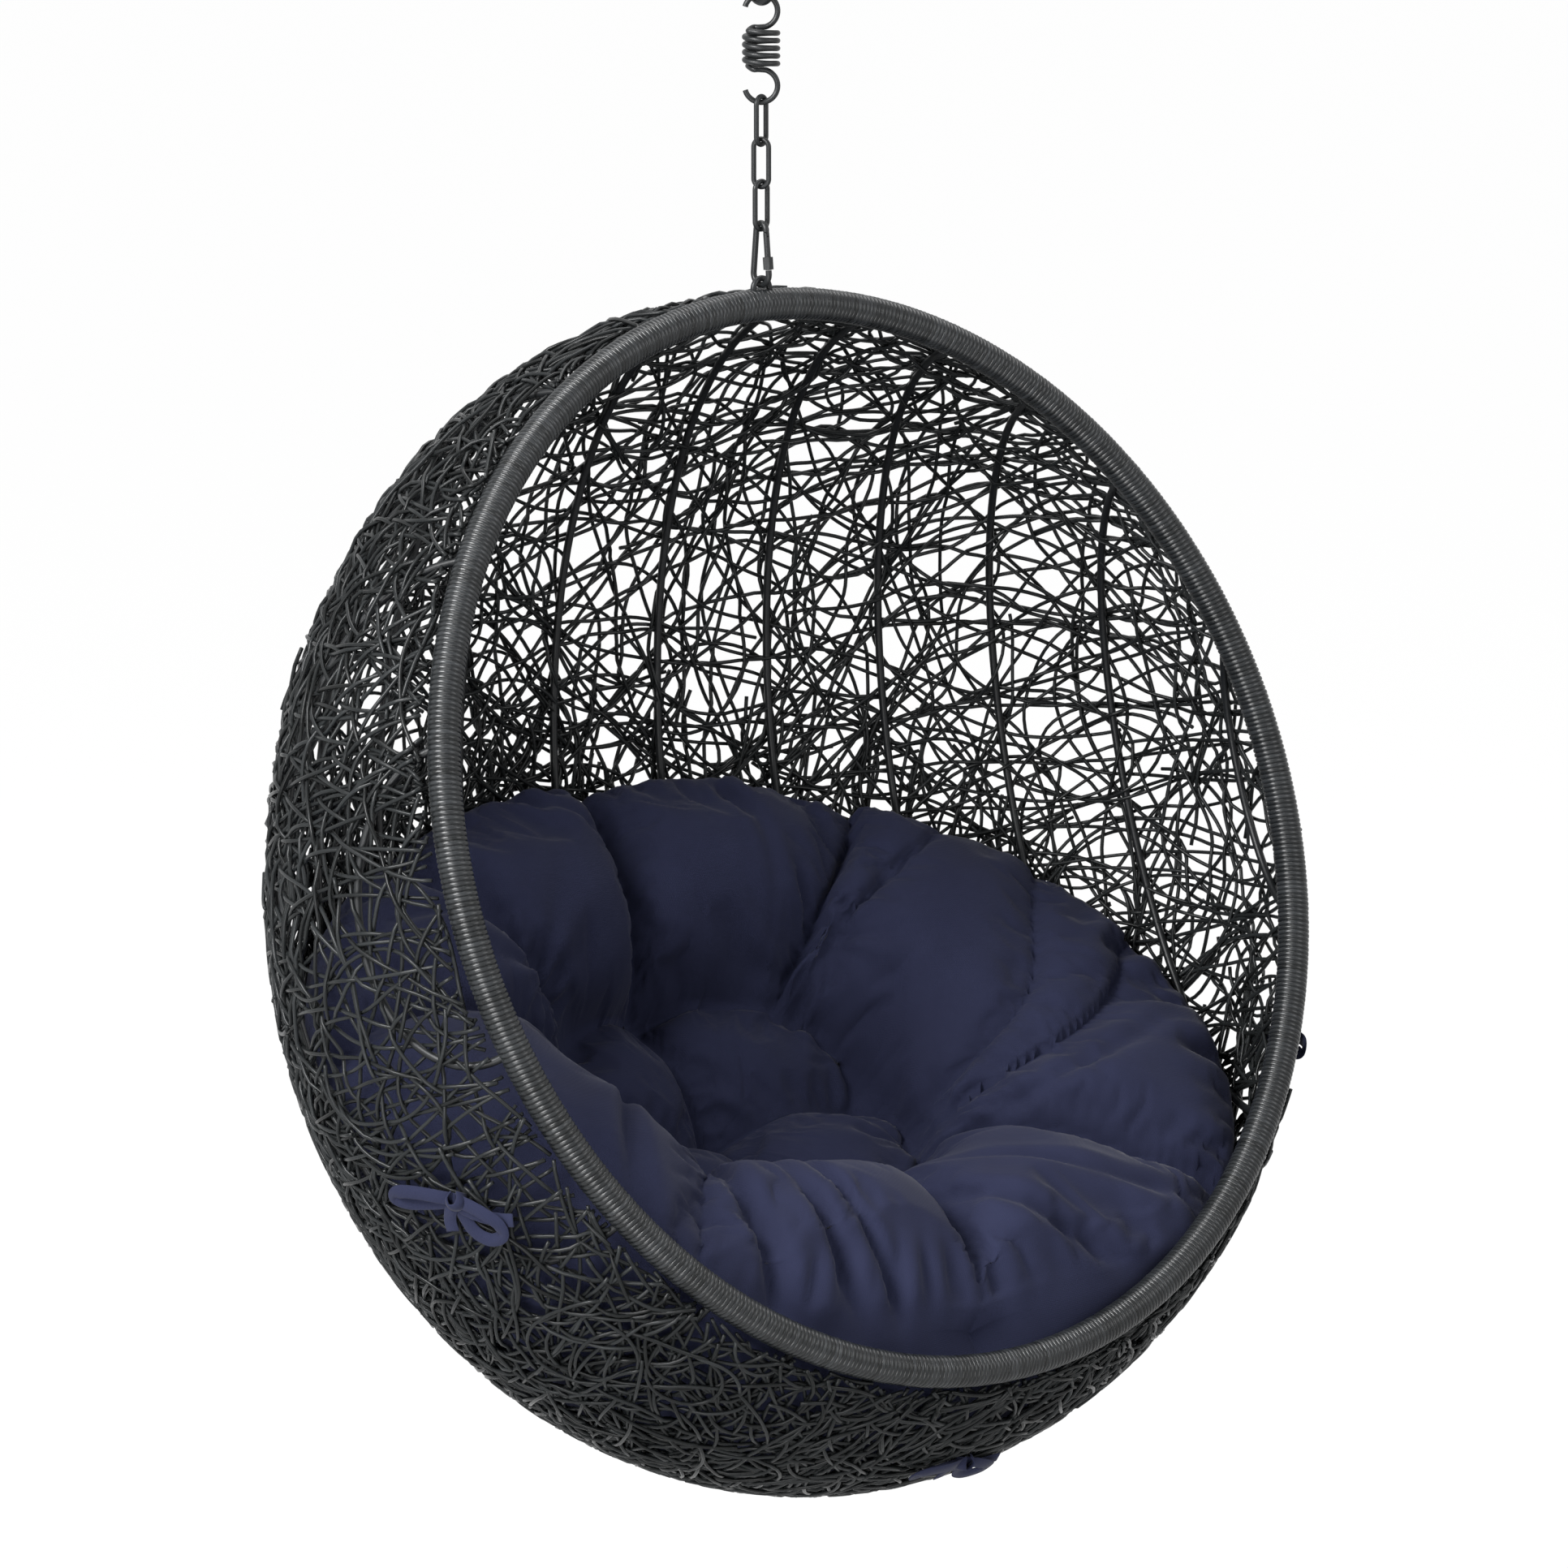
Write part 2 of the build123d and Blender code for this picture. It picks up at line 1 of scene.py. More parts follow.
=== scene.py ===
# %% [markdown]
# # Hanging basket chair
# This lesson dresses a CAD model of a woven hanging chair. The model gives every piece its place and
# size. Blender then adds what CAD leaves plain: the cane weave, the wound rim, the cushion, its tapes
# and the spring. All lengths are in metres, and each look is built in the CAD model's own frame.

# %% Frame
import math

import bpy
import numpy as np
from mathutils import Matrix, Vector


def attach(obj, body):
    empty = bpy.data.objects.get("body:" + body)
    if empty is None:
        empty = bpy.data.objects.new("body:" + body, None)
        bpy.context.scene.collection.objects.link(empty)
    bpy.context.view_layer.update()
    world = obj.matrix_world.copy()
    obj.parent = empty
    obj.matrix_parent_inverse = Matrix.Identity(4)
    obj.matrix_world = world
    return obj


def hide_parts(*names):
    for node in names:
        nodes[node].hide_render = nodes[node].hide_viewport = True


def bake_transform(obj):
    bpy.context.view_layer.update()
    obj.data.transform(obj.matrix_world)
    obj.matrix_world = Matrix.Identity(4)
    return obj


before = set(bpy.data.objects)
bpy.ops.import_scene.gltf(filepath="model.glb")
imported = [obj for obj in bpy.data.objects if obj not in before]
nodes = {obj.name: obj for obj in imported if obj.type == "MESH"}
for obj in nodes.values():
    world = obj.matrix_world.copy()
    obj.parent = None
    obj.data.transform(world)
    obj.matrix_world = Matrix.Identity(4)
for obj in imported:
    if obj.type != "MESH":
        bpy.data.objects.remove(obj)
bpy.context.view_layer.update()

# %% [markdown]
# ## Rim and bowl
# The real basket is a steel ring with ribs welded behind it, and cane woven over the ribs. The bowl
# could be sculpted by eye, but the strands have to lie on the ribs. So the lesson works out the same
# flattened sphere that the ribs were bent to, from the same few sizes.

# %% Sizes of the rim and bowl
RIM_TOP = np.array((0.0, 0.0, -0.32935))
RIM_RADIUS = 0.522
RIM_LEAN = math.radians(20.5)
RIM_TUBE_RADIUS = 0.0125
WRAP_CANE = 0.0032
BOWL_HALF_WIDTH = 0.572
BOWL_HALF_DEPTH = 0.366
BOWL_TILT = math.radians(8)
RIB_RADIUS = 0.004
RIBS_EACH_SIDE = 6
RIB_FAN = 0.850
RIB_SPREAD = 0.975
PAD_DROP = 0.725
PAD_SLOPE = math.radians(33)

SIDE = np.array((1.0, 0.0, 0.0))
UP = np.array((0.0, 0.0, 1.0))
rim_up = np.array((0.0, math.sin(RIM_LEAN), math.cos(RIM_LEAN)))
rim_back = np.array((0.0, math.cos(RIM_LEAN), -math.sin(RIM_LEAN)))
rim_centre = RIM_TOP - rim_up * RIM_RADIUS
bowl_lean = RIM_LEAN - BOWL_TILT
bowl_up = np.array((0.0, math.sin(bowl_lean), math.cos(bowl_lean)))
bowl_back = np.array((0.0, math.cos(bowl_lean), -math.sin(bowl_lean)))
bowl_axes = np.stack((SIDE, bowl_up, bowl_back))
bowl_halves = np.array((BOWL_HALF_WIDTH, BOWL_HALF_WIDTH, BOWL_HALF_DEPTH))

# The bowl's centre is where its cut by the rim's plane has the rim's own height
wide = 1 / BOWL_HALF_WIDTH**2
deep = 1 / BOWL_HALF_DEPTH**2
lift, dip = math.cos(BOWL_TILT), math.sin(BOWL_TILT)
across = wide * lift**2 + deep * dip**2
sink = dip * lift * (wide - deep) / across
slope = wide * (dip - sink * lift) ** 2 + deep * (sink * dip + lift) ** 2
offset = math.sqrt((1 - RIM_RADIUS**2 * across) / slope)
bowl_centre = rim_centre + rim_up * (sink * offset) + rim_back * offset

pad_centre = RIM_TOP - UP * PAD_DROP
pad_up = np.array((0.0, -math.sin(PAD_SLOPE), math.cos(PAD_SLOPE)))
pad_side = np.cross(pad_up, SIDE)
print("bowl centre", np.round(bowl_centre, 4))

# %% [markdown]
# ## Points on the bowl
# A flattened sphere becomes a plain unit sphere when each axis is divided by its own half length.
# Points are handled in numpy arrays with one row a point, which is quick enough for many thousands.


# %% The bowl's own coordinates
def unit(vectors):
    return vectors / np.linalg.norm(vectors, axis=-1, keepdims=True)


def to_sphere(points):
    return ((points - bowl_centre) @ bowl_axes.T) / bowl_halves


def from_sphere(sphere, growth=0.0):
    return bowl_centre + (sphere * (bowl_halves + growth)) @ bowl_axes


def bowl_normal(sphere):
    return unit((sphere / bowl_halves) @ bowl_axes)


def bowl_exit(start, ways, growth):
    """Where rays from a point inside leave the bowl, with the bowl grown by a wall."""
    halves = bowl_halves + growth
    rate = (ways @ bowl_axes.T) / halves
    place = (bowl_axes @ (start - bowl_centre)) / halves
    along = rate @ place
    square = np.sum(rate**2, axis=-1)
    travel = (np.sqrt(along**2 + square * (1 - place @ place)) - along) / square
    return start + ways * travel[..., None]


print("lowest point of the bowl", np.round(bowl_exit(bowl_centre, -UP[None], 0.0)[0], 3))

# %% [markdown]
# ## Colours and nodes
# Colours are written as sRGB hex values, as a paint chart or a picture shows them. Blender's shaders
# work in linear light, so one function turns one into the other. A second function adds a node, sets
# its options and joins its sockets, which keeps each material short enough to read in one go.


# %% Colours and nodes
def colour(text):
    channels = [int(text[i : i + 2], 16) / 255 for i in (1, 3, 5)]
    linear = [c / 12.92 if c <= 0.04045 else ((c + 0.055) / 1.055) ** 2.4 for c in channels]
    return (*linear, 1.0)


def add_node(tree, kind, inputs, **settings):
    """Adds a shader node; an input is either a constant or the socket that feeds it."""
    node = tree.nodes.new("ShaderNode" + kind)
    for name, value in settings.items():
        setattr(node, name, value)
    for name, value in inputs.items():
        if isinstance(value, bpy.types.NodeSocket):
            tree.links.new(value, node.inputs[name])
        else:
            node.inputs[name].default_value = value
    return node


def start_material(name, ior):
    """A new material, its tree, its surface and the place that its patterns are drawn in."""
    material = bpy.data.materials.new(name)
    material.use_nodes = True
    tree = material.node_tree
    surface = tree.nodes["Principled BSDF"]
    surface.inputs["IOR"].default_value = ior
    return material, tree, surface, add_node(tree, "TexCoord", {}).outputs["Object"]


print("mid grey is", round(colour("#808080")[0], 3), "in linear light")

# %% [markdown]
# ## Powder-coated steel
# The rim, the ribs, the chain and the hooks are mild steel under a baked black powder. The powder melts
# into a skin that hides the metal, so the eye sees a plastic: no metallic shine, a broad soft highlight
# and a faint orange-peel grain. A typical coat has an IOR of 1.5 and a roughness near 0.4. The grain is
# about 0.8 mm wide, and the slow change of gloss about 15 mm.

# %% Powder-coated steel
GRAIN_WIDTH = 0.0008
GLOSS_DRIFT = 0.015


def powder_coated_steel(name, dark, pale):
    material, tree, surface, place = start_material(name, 1.5)
    surface.inputs["Specular IOR Level"].default_value = 0.25
    grain = add_node(tree, "TexNoise", {"Vector": place, "Scale": 1 / GRAIN_WIDTH, "Detail": 2.0})
    drift = add_node(tree, "TexNoise", {"Vector": place, "Scale": 1 / GLOSS_DRIFT, "Detail": 2.0})
    shades = {0: drift.outputs["Fac"], 6: colour(dark), 7: colour(pale)}
    shade = add_node(tree, "Mix", shades, data_type="RGBA")
    gloss = add_node(tree, "MapRange", {"Value": drift.outputs["Fac"], "To Min": 0.34, "To Max": 0.46})
    relief = add_node(tree, "Bump", {"Height": grain.outputs["Fac"], "Distance": 0.00015, "Strength": 0.5})
    tree.links.new(shade.outputs[2], surface.inputs["Base Color"])
    tree.links.new(gloss.outputs["Result"], surface.inputs["Roughness"])
    tree.links.new(relief.outputs["Normal"], surface.inputs["Normal"])
    return material


hardware_coat = powder_coated_steel("powder_coated_hardware", "#0d0e0f", "#181a1b")
frame_coat = powder_coated_steel("powder_coated_frame", "#0b0c0d", "#141618")
for name, node in nodes.items():
    framed = name.startswith("rib_") or name in ("rim_tube", "lifting_ring")
    node.data.materials.clear()
    node.data.materials.append(frame_coat if framed else hardware_coat)
print("steel coats on", len(nodes), "pieces")

# %% [markdown]
# ## Polyethylene cane
# The strands are not willow but extruded polyethylene, dyed through and drawn round. Extrusion leaves a
# smooth waxy skin with faint lines along the strand, so each strand carries one bright line of light.
# Polyethylene has an IOR of 1.51 and a roughness of 0.2 to 0.4. Real streaks are finer than a picture
# shows, so they are drawn about 2.5 mm long. Every strand has a tint of its own, stored on its points.
# On the rim winding that value also holds painted shade, darker towards the groove between turns.

# %% Polyethylene cane
STREAK_LENGTH = 0.0025
STREAK_SHARE = 0.25


def polyethylene_cane(name, dark, pale, shine):
    material, tree, surface, place = start_material(name, 1.51)
    surface.inputs["Specular IOR Level"].default_value = shine
    tint = add_node(tree, "Attribute", {}, attribute_name="tint")
    streak = add_node(tree, "TexNoise", {"Vector": place, "Scale": 1 / STREAK_LENGTH, "Detail": 3.0})
    tints = {0: STREAK_SHARE, 2: tint.outputs["Fac"], 3: streak.outputs["Fac"]}
    both = add_node(tree, "Mix", tints, data_type="FLOAT")
    shades = {0: both.outputs[0], 6: colour(dark), 7: colour(pale)}
    shade = add_node(tree, "Mix", shades, data_type="RGBA")
    gloss = add_node(tree, "MapRange", {"Value": streak.outputs["Fac"], "To Min": 0.22, "To Max": 0.36})
    relief = add_node(tree, "Bump", {"Height": streak.outputs["Fac"], "Distance": 0.0003, "Strength": 0.3})
    tree.links.new(shade.outputs[2], surface.inputs["Base Color"])
    tree.links.new(gloss.outputs["Result"], surface.inputs["Roughness"])
    tree.links.new(relief.outputs["Normal"], surface.inputs["Normal"])
    return material


weave_cane = polyethylene_cane("polyethylene_weave", "#0a0b0b", "#202223", 0.12)
wrap_cane = polyethylene_cane("polyethylene_winding", "#050606", "#26282a", 0.25)
print("cane:", weave_cane.name, "and", wrap_cane.name)

# %% [markdown]
# ## Polyester canvas
# The cushion cover and its tapes are plain-woven polyester, dyed navy. The cloth has no shine of its
# own, but its fibre ends catch light that grazes it, which the sheen stands for. Polyester has an IOR
# of 1.57. Its threads lie about 0.5 mm apart, too fine to show, so they are drawn 1.6 mm apart on the
# cushion and 1 mm apart on the tapes. A wave texture repeats every 0.314 / scale, which gives the scale
# from that spacing.

# %% Polyester canvas
WAVE_REPEAT = 0.314
DYE_PATCH = 0.07


def polyester_canvas(name, dark, pale, thread):
    material, tree, surface, place = start_material(name, 1.57)
    dye = add_node(tree, "TexNoise", {"Vector": place, "Scale": 1 / DYE_PATCH, "Detail": 4.0})
    shades = {0: dye.outputs["Fac"], 6: colour(dark), 7: colour(pale)}
    shade = add_node(tree, "Mix", shades, data_type="RGBA")
    line = {"Vector": place, "Scale": WAVE_REPEAT / thread, "Distortion": 1.2, "Detail": 1.0}
    warp = add_node(tree, "TexWave", line, bands_direction="X")
    weft = add_node(tree, "TexWave", line, bands_direction="Z")
    cloth = add_node(tree, "Math", {0: warp.outputs["Fac"], 1: weft.outputs["Fac"]}, operation="MULTIPLY")
    relief = add_node(tree, "Bump", {"Height": cloth.outputs[0], "Distance": 0.0004, "Strength": 0.3})
    tree.links.new(shade.outputs[2], surface.inputs["Base Color"])
    tree.links.new(relief.outputs["Normal"], surface.inputs["Normal"])
    surface.inputs["Roughness"].default_value = 0.88
    surface.inputs["Specular IOR Level"].default_value = 0.05
    surface.inputs["Sheen Weight"].default_value = 0.05
    surface.inputs["Sheen Roughness"].default_value = 0.4
    return material


cushion_canvas = polyester_canvas("polyester_canvas", "#1b1d2e", "#23263a", 0.0016)
tape_canvas = polyester_canvas("polyester_tape", "#191b2b", "#1f2234", 0.0010)
print("canvas:", cushion_canvas.name, "and", tape_canvas.name)

# %% [markdown]
# ## Weave
# On the real chair one person winds long strands round the ribs in free loops, denser where the cushion
# hides them. A texture with holes would look flat from the side, and hair can't pass over and under
# itself. So each strand is a line that wanders over the bowl with a slowly changing bend. Of several
# tries, the one that crosses the emptiest parts of the bowl is kept, which leaves even gaps.

# %% Weave: where a strand may lie
CANE_RADIUS = 0.0020
STEP = 0.010
RIM_MARGIN = 0.011
FORWARD_MARGIN = 0.26
DRAWS_A_PLACE = 4
rng = np.random.default_rng(41)


def behind_rim(points):
    return (points - rim_centre) @ rim_back


def over_pad(points):
    return (points - pad_centre) @ pad_up


def random_places(count, highest):
    """Places spread evenly over the bowl and a margin in front of its rim, on the unit sphere."""
    places = np.empty((0, 3))
    while len(places) < count:
        sphere = unit(rng.normal(size=(DRAWS_A_PLACE * count, 3)))
        stretch = np.linalg.norm(sphere / bowl_halves, axis=1)
        kept = rng.random(len(sphere)) < stretch / stretch.max()
        points = from_sphere(sphere)
        kept &= (behind_rim(points) > -FORWARD_MARGIN) & (over_pad(points) < highest)
        places = np.vstack((places, sphere[kept]))
    return places[:count]


print("cane", 2000 * CANE_RADIUS, "mm thick, laid in steps of", 1000 * STEP, "mm")

# %% Weave: how a strand wanders
BEND_KEPT = 0.9
BEND_NEW = 0.436


def wander(sphere, steps, bend_size, level):
    """Marches strands over the bowl in even steps; level draws their headings to the horizontal."""
    count = len(sphere)
    normal = bowl_normal(sphere)
    heading = unit(np.cross(normal, rng.normal(size=(count, 3))))
    bend = rng.normal(size=count) * bend_size
    track = np.empty((steps, count, 3))
    for step in range(steps):
        track[step] = from_sphere(sphere)
        bend = BEND_KEPT * bend + BEND_NEW * rng.normal(size=count) * bend_size
        swing = (bend * STEP)[:, None]
        heading = heading * np.cos(swing) + np.cross(normal, heading) * np.sin(swing)
        flat = np.cross(UP, normal)
        heading += flat * np.sum(heading * flat, axis=1, keepdims=True) * (level * STEP)
        sphere = unit(to_sphere(track[step] + heading * STEP))
        normal = bowl_normal(sphere)
        heading = unit(heading - normal * np.sum(heading * normal, axis=1, keepdims=True))
    return track


# %% Weave: the strands that are kept
TRIES = 6
COVER_CELL = 0.026
CELL_CODE = np.array((1, 1000, 1000000))  # makes one number of a cell's three
SHORTEST_SHARE = 0.55
EDGE_BLUR = (-0.1, 0.06)  # the denser cane ends at no sharp line
FEWEST_POINTS = 6
RISE_SPREAD = 0.0012
OFF_THE_BOWL = 99  # the crowding of a try that misses the bowl
ANY_HEIGHT = 9.0  # well past the bowl's top
cover = {"all": {}, "outer": {}}
laid, laid_strand, laid_joined, strand_rise = [], [], [], []


def lay(family, count, longest, bend_size, level, rise, highest):
    """Lays one family of strands and keeps the runs of each that lie on the bowl."""
    counts = cover[family]
    tracks = wander(random_places(count * TRIES, highest), int(longest / STEP), bend_size, level)
    for strand in range(count):
        steps = int(rng.uniform(SHORTEST_SHARE, 1) * longest / STEP)
        track = tracks[:steps, strand * TRIES : (strand + 1) * TRIES]
        reach = highest + rng.uniform(*EDGE_BLUR)
        present = (behind_rim(track) > RIM_MARGIN) & (over_pad(track) < reach)
        cells = np.floor(track / COVER_CELL).astype(int) @ CELL_CODE
        crowd = []
        for i in range(TRIES):
            passed = [counts.get(c, 0) for c in cells[present[:, i], i]]
            crowd.append(np.mean(passed or [OFF_THE_BOWL]))
        best = int(np.argmin(crowd))
        for c in cells[present[:, best], best]:
            counts[c] = counts.get(c, 0) + 1
        here = np.concatenate(([False], present[:, best], [False])).astype(int)
        for first, last in zip(np.nonzero(np.diff(here) > 0)[0], np.nonzero(np.diff(here) < 0)[0]):
            if last - first >= FEWEST_POINTS:
                laid.append(track[first:last, best])
                laid_strand.append(np.full(last - first, len(strand_rise)))
                laid_joined.append(np.append(np.ones(last - first - 1, bool), False))
        strand_rise.append(rise + rng.normal() * RISE_SPREAD)


lay("all", count=172, longest=4.2, bend_size=5.0, level=1.6, rise=0.0045, highest=ANY_HEIGHT)
lay("all", count=80, longest=3.0, bend_size=10.0, level=0.0, rise=0.0060, highest=ANY_HEIGHT)
lay("outer", count=330, longest=1.4, bend_size=13.0, level=0.0, rise=0.0095, highest=0.05)
laid = np.vstack(laid)
laid_strand = np.concatenate(laid_strand)
laid_joined = np.concatenate(laid_joined)
strand_rise = np.array(strand_rise)
STRANDS = len(strand_rise)
print(STRANDS, "strands,", round(len(laid) * STEP), "m of cane")

# %% [markdown]
# ## Over and under
# Woven strands touch where they cross and never pass through each other. The crossings are found first,
# on a flat map of the bowl, with the ribs as lines that don't move. Then all the strands' heights are
# eased many times: each is smoothed along its length and pushed apart from its partner at a crossing.

# %% Weave: ribs as fixed lines
RIB_POINTS = 160


def rib_line(number):
    landing = RIM_RADIUS * RIB_SPREAD * number / RIBS_EACH_SIDE
    outward = unit(rim_back + SIDE * (landing / RIB_FAN))
    angle = np.linspace(0, np.pi, RIB_POINTS)[:, None]
    return bowl_exit(rim_centre + SIDE * landing, rim_up * np.cos(angle) + outward * np.sin(angle), 0.0)


rib_lines = [rib_line(number) for number in range(-RIBS_EACH_SIDE, RIBS_EACH_SIDE + 1)]
line_points = np.vstack([laid] + rib_lines)
rib_numbers = [np.full(RIB_POINTS, STRANDS + i) for i in range(len(rib_lines))]
rib_joined = np.append(np.ones(RIB_POINTS - 1, bool), False)
line_strand = np.concatenate([laid_strand] + rib_numbers)
line_joined = np.concatenate([laid_joined] + [rib_joined] * len(rib_lines))
is_rib = line_strand >= STRANDS
print(len(rib_lines), "ribs of", RIB_POINTS, "points")

# %% Weave: crossings, found on a flat map of the bowl
MAP_CELL = 0.022
MAP_MIDDLE = 400  # keeps the cells' numbers positive
MAP_ROW = 4096
SAME_BEND = 6  # steps so near on one strand that they can't cross
line_sphere = to_sphere(line_points)
flat = line_sphere[:, :2] / (1 + line_sphere[:, 2:])
starts = np.nonzero(line_joined)[0]
edge = flat[starts + 1] - flat[starts]
middle = np.floor((flat[starts] + edge / 2) / MAP_CELL).astype(int) + MAP_MIDDLE
key = middle[:, 0] * MAP_ROW + middle[:, 1]
order = np.argsort(key, kind="stable")
sorted_key = key[order]
pairs = []
for shift in (0, 1, MAP_ROW - 1, MAP_ROW, MAP_ROW + 1):
    low = np.searchsorted(sorted_key, key + shift, "left")
    count = np.searchsorted(sorted_key, key + shift, "right") - low
    one = np.repeat(np.arange(len(key)), count)
    other = order[np.repeat(low - np.cumsum(count) + count, count) + np.arange(count.sum())]
    kept = one < other if shift == 0 else one != other
    pairs.append(np.stack((one[kept], other[kept])))
one, other = np.concatenate(pairs, axis=1)
kept = (line_strand[starts[one]] != line_strand[starts[other]]) | (abs(one - other) > SAME_BEND)
kept &= ~(is_rib[starts[one]] & is_rib[starts[other]])
one, other = one[kept], other[kept]
gap = flat[starts[other]] - flat[starts[one]]
area = edge[one, 0] * edge[other, 1] - edge[one, 1] * edge[other, 0]
area = np.where(abs(area) < 1e-12, 1e-12, area)
along_one = (gap[:, 0] * edge[other, 1] - gap[:, 1] * edge[other, 0]) / area
along_other = (gap[:, 0] * edge[one, 1] - gap[:, 1] * edge[one, 0]) / area
cross = (along_one >= 0) & (along_one < 1) & (along_other >= 0) & (along_other < 1)
one, other = starts[one[cross]], starts[other[cross]]
along_one, along_other = along_one[cross], along_other[cross]
print(len(one), "crossings")

# %% Weave: heights that clear each crossing
WAVE_LENGTHS = (0.06, 0.13)
WAVE_HEIGHT = 0.0045
PAD_MARGIN = 0.03
INNERMOST = -0.0065
OUTERMOST = 0.0145
CLEARANCE = 1.02
EASINGS = 70
SMOOTHING = 0.22
LEAST_WEIGHT = 0.6
wave_length = rng.uniform(*WAVE_LENGTHS, STRANDS)
wave_start = rng.uniform(0, 2 * np.pi, STRANDS)
run = np.arange(len(laid)) * STEP
height = np.zeros(len(line_points))
height[: len(laid)] = strand_rise[laid_strand] + WAVE_HEIGHT * np.sin(
    2 * np.pi * run / wave_length[laid_strand] + wave_start[laid_strand])
lowest = np.where(over_pad(line_points) < PAD_MARGIN, RIB_RADIUS + CANE_RADIUS, INNERMOST)
reach = np.where(is_rib[one] | is_rib[other], RIB_RADIUS + CANE_RADIUS, 2 * CANE_RADIUS) * CLEARANCE
side = np.sign(height[one] - height[other])
side[side == 0] = 1
before = np.maximum(np.arange(len(height)) - 1, 0)
after = np.minimum(np.arange(len(height)) + 1, len(height) - 1)
before = np.where(np.concatenate(([False], line_joined[:-1])), before, np.arange(len(height)))
after = np.where(line_joined, after, np.arange(len(height)))
for _ in range(EASINGS):
    height = height + SMOOTHING * (0.5 * (height[before] + height[after]) - height)
    first = height[one] * (1 - along_one) + height[one + 1] * along_one
    second = height[other] * (1 - along_other) + height[other + 1] * along_other
    lack = np.clip(reach - side * (first - second), 0, None) * side * 0.5
    push = np.zeros(len(height))
    weight = np.full(len(height), 1e-9)
    for index, share, amount in ((one, 1 - along_one, lack), (one + 1, along_one, lack),
                                 (other, 1 - along_other, -lack), (other + 1, along_other, -lack)):
        np.add.at(push, index, share * amount)
        np.add.at(weight, index, share)
    height = np.clip(height + push / np.maximum(weight, LEAST_WEIGHT), lowest, OUTERMOST)
    height[is_rib] = 0
span = np.round(1000 * np.array((height.min(), height.max())), 1)
print("strands lie", span[0], "to", span[1], "mm off the bowl")

# %% [markdown]
# ## Round strands
# Each strand becomes a thin tube with six sides, smooth shaded, which is enough for cane of this size.
# Meshes are filled from arrays, because adding faces one at a time would take minutes. The tubes are
# split over ten objects to keep each of them small.


# %% Weave: helpers for meshes and tubes
def quad_mesh(name, points, quads, material, tint=None):
    """A smooth mesh of quads, with an optional value per vertex that its material reads."""
    mesh = bpy.data.meshes.new(name)
    mesh.vertices.add(len(points))
    mesh.vertices.foreach_set("co", np.ascontiguousarray(points, np.float32).ravel())
    mesh.loops.add(4 * len(quads))
    mesh.loops.foreach_set("vertex_index", np.ascontiguousarray(quads, np.int32).ravel())
    mesh.polygons.add(len(quads))
    mesh.polygons.foreach_set("loop_start", np.arange(0, 4 * len(quads), 4, dtype=np.int32))
    mesh.polygons.foreach_set("use_smooth", np.ones(len(quads), bool))
    mesh.update(calc_edges=True)
    mesh.validate()
    if tint is not None:
        layer = mesh.attributes.new("tint", "FLOAT", "POINT")
        layer.data.foreach_set("value", np.ascontiguousarray(tint, np.float32))
    mesh.materials.append(material)
    piece = bpy.data.objects.new(name, mesh)
    bpy.context.scene.collection.objects.link(piece)
    return piece


def tube_quads(count, joined, sides):
    """Quads of closed tubes on rings of points; joined says which rings go on to the next one."""
    ring = np.arange(sides)
    turn = (ring + 1) % sides
    first = np.nonzero(joined)[0][:, None] * sides
    walls = np.stack((first + ring, first + turn, first + sides + turn, first + sides + ring), -1)
    starts = np.nonzero(joined & ~np.concatenate(([False], joined[:-1])))[0]
    ends = np.nonzero(~joined & np.concatenate(([False], joined[:-1])))[0]
    fan = np.array([(0, i, i + 1, i + 2) for i in range(1, sides - 2, 2)])
    caps = [starts[:, None, None] * sides + fan[:, ::-1], ends[:, None, None] * sides + fan]
    return np.concatenate([walls.reshape(-1, 4)] + [cap.reshape(-1, 4) for cap in caps])


def tube_points(points, first_axis, second_axis, radius, sides):
    angle = np.arange(sides) * (2 * np.pi / sides)
    spread = np.cos(angle)[:, None] * first_axis[:, None, :]
    spread = spread + np.sin(angle)[:, None] * second_axis[:, None, :]
    return (points[:, None, :] + radius * spread).reshape(-1, 3)


# %% Weave: tubes
CANE_SIDES = 6
WEAVE_PIECES = 10
count = len(laid)
surface_normal = bowl_normal(to_sphere(laid))
woven = laid + surface_normal * height[:count, None]
tangent = unit(woven[after[:count]] - woven[before[:count]])
first_axis = unit(surface_normal - tangent * np.sum(surface_normal * tangent, axis=1, keepdims=True))
second_axis = np.cross(tangent, first_axis)
shade = np.clip(rng.normal(0.5, 0.22, STRANDS), 0, 1)[laid_strand]
runs = np.nonzero(~laid_joined)[0] + 1
splits = [runs[np.searchsorted(runs, count * i / WEAVE_PIECES)] for i in range(1, WEAVE_PIECES)]
bounds = [0] + splits + [count]
for i, (low, high) in enumerate(zip(bounds, bounds[1:]), start=1):
    part = slice(low, high)
    points = tube_points(woven[part], first_axis[part], second_axis[part], CANE_RADIUS, CANE_SIDES)
    quads = tube_quads(high - low, laid_joined[part], CANE_SIDES)
    weave = quad_mesh(f"weave_{i}", points, quads, weave_cane, np.repeat(shade[part], CANE_SIDES))
    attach(weave, "basket")
    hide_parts("weave_shell")
print("weave:", count, "points in", WEAVE_PIECES, "pieces")

# %% [markdown]
# ## Rim winding
# On the real rim one strand of cane is wound tightly round the tube, turn beside turn, and hides it. A
# helix of 700 separate turns would hide half of its own faces. So the winding is one ring whose radius
# rises and falls over each turn, and whose groove moves on by one turn each time round.

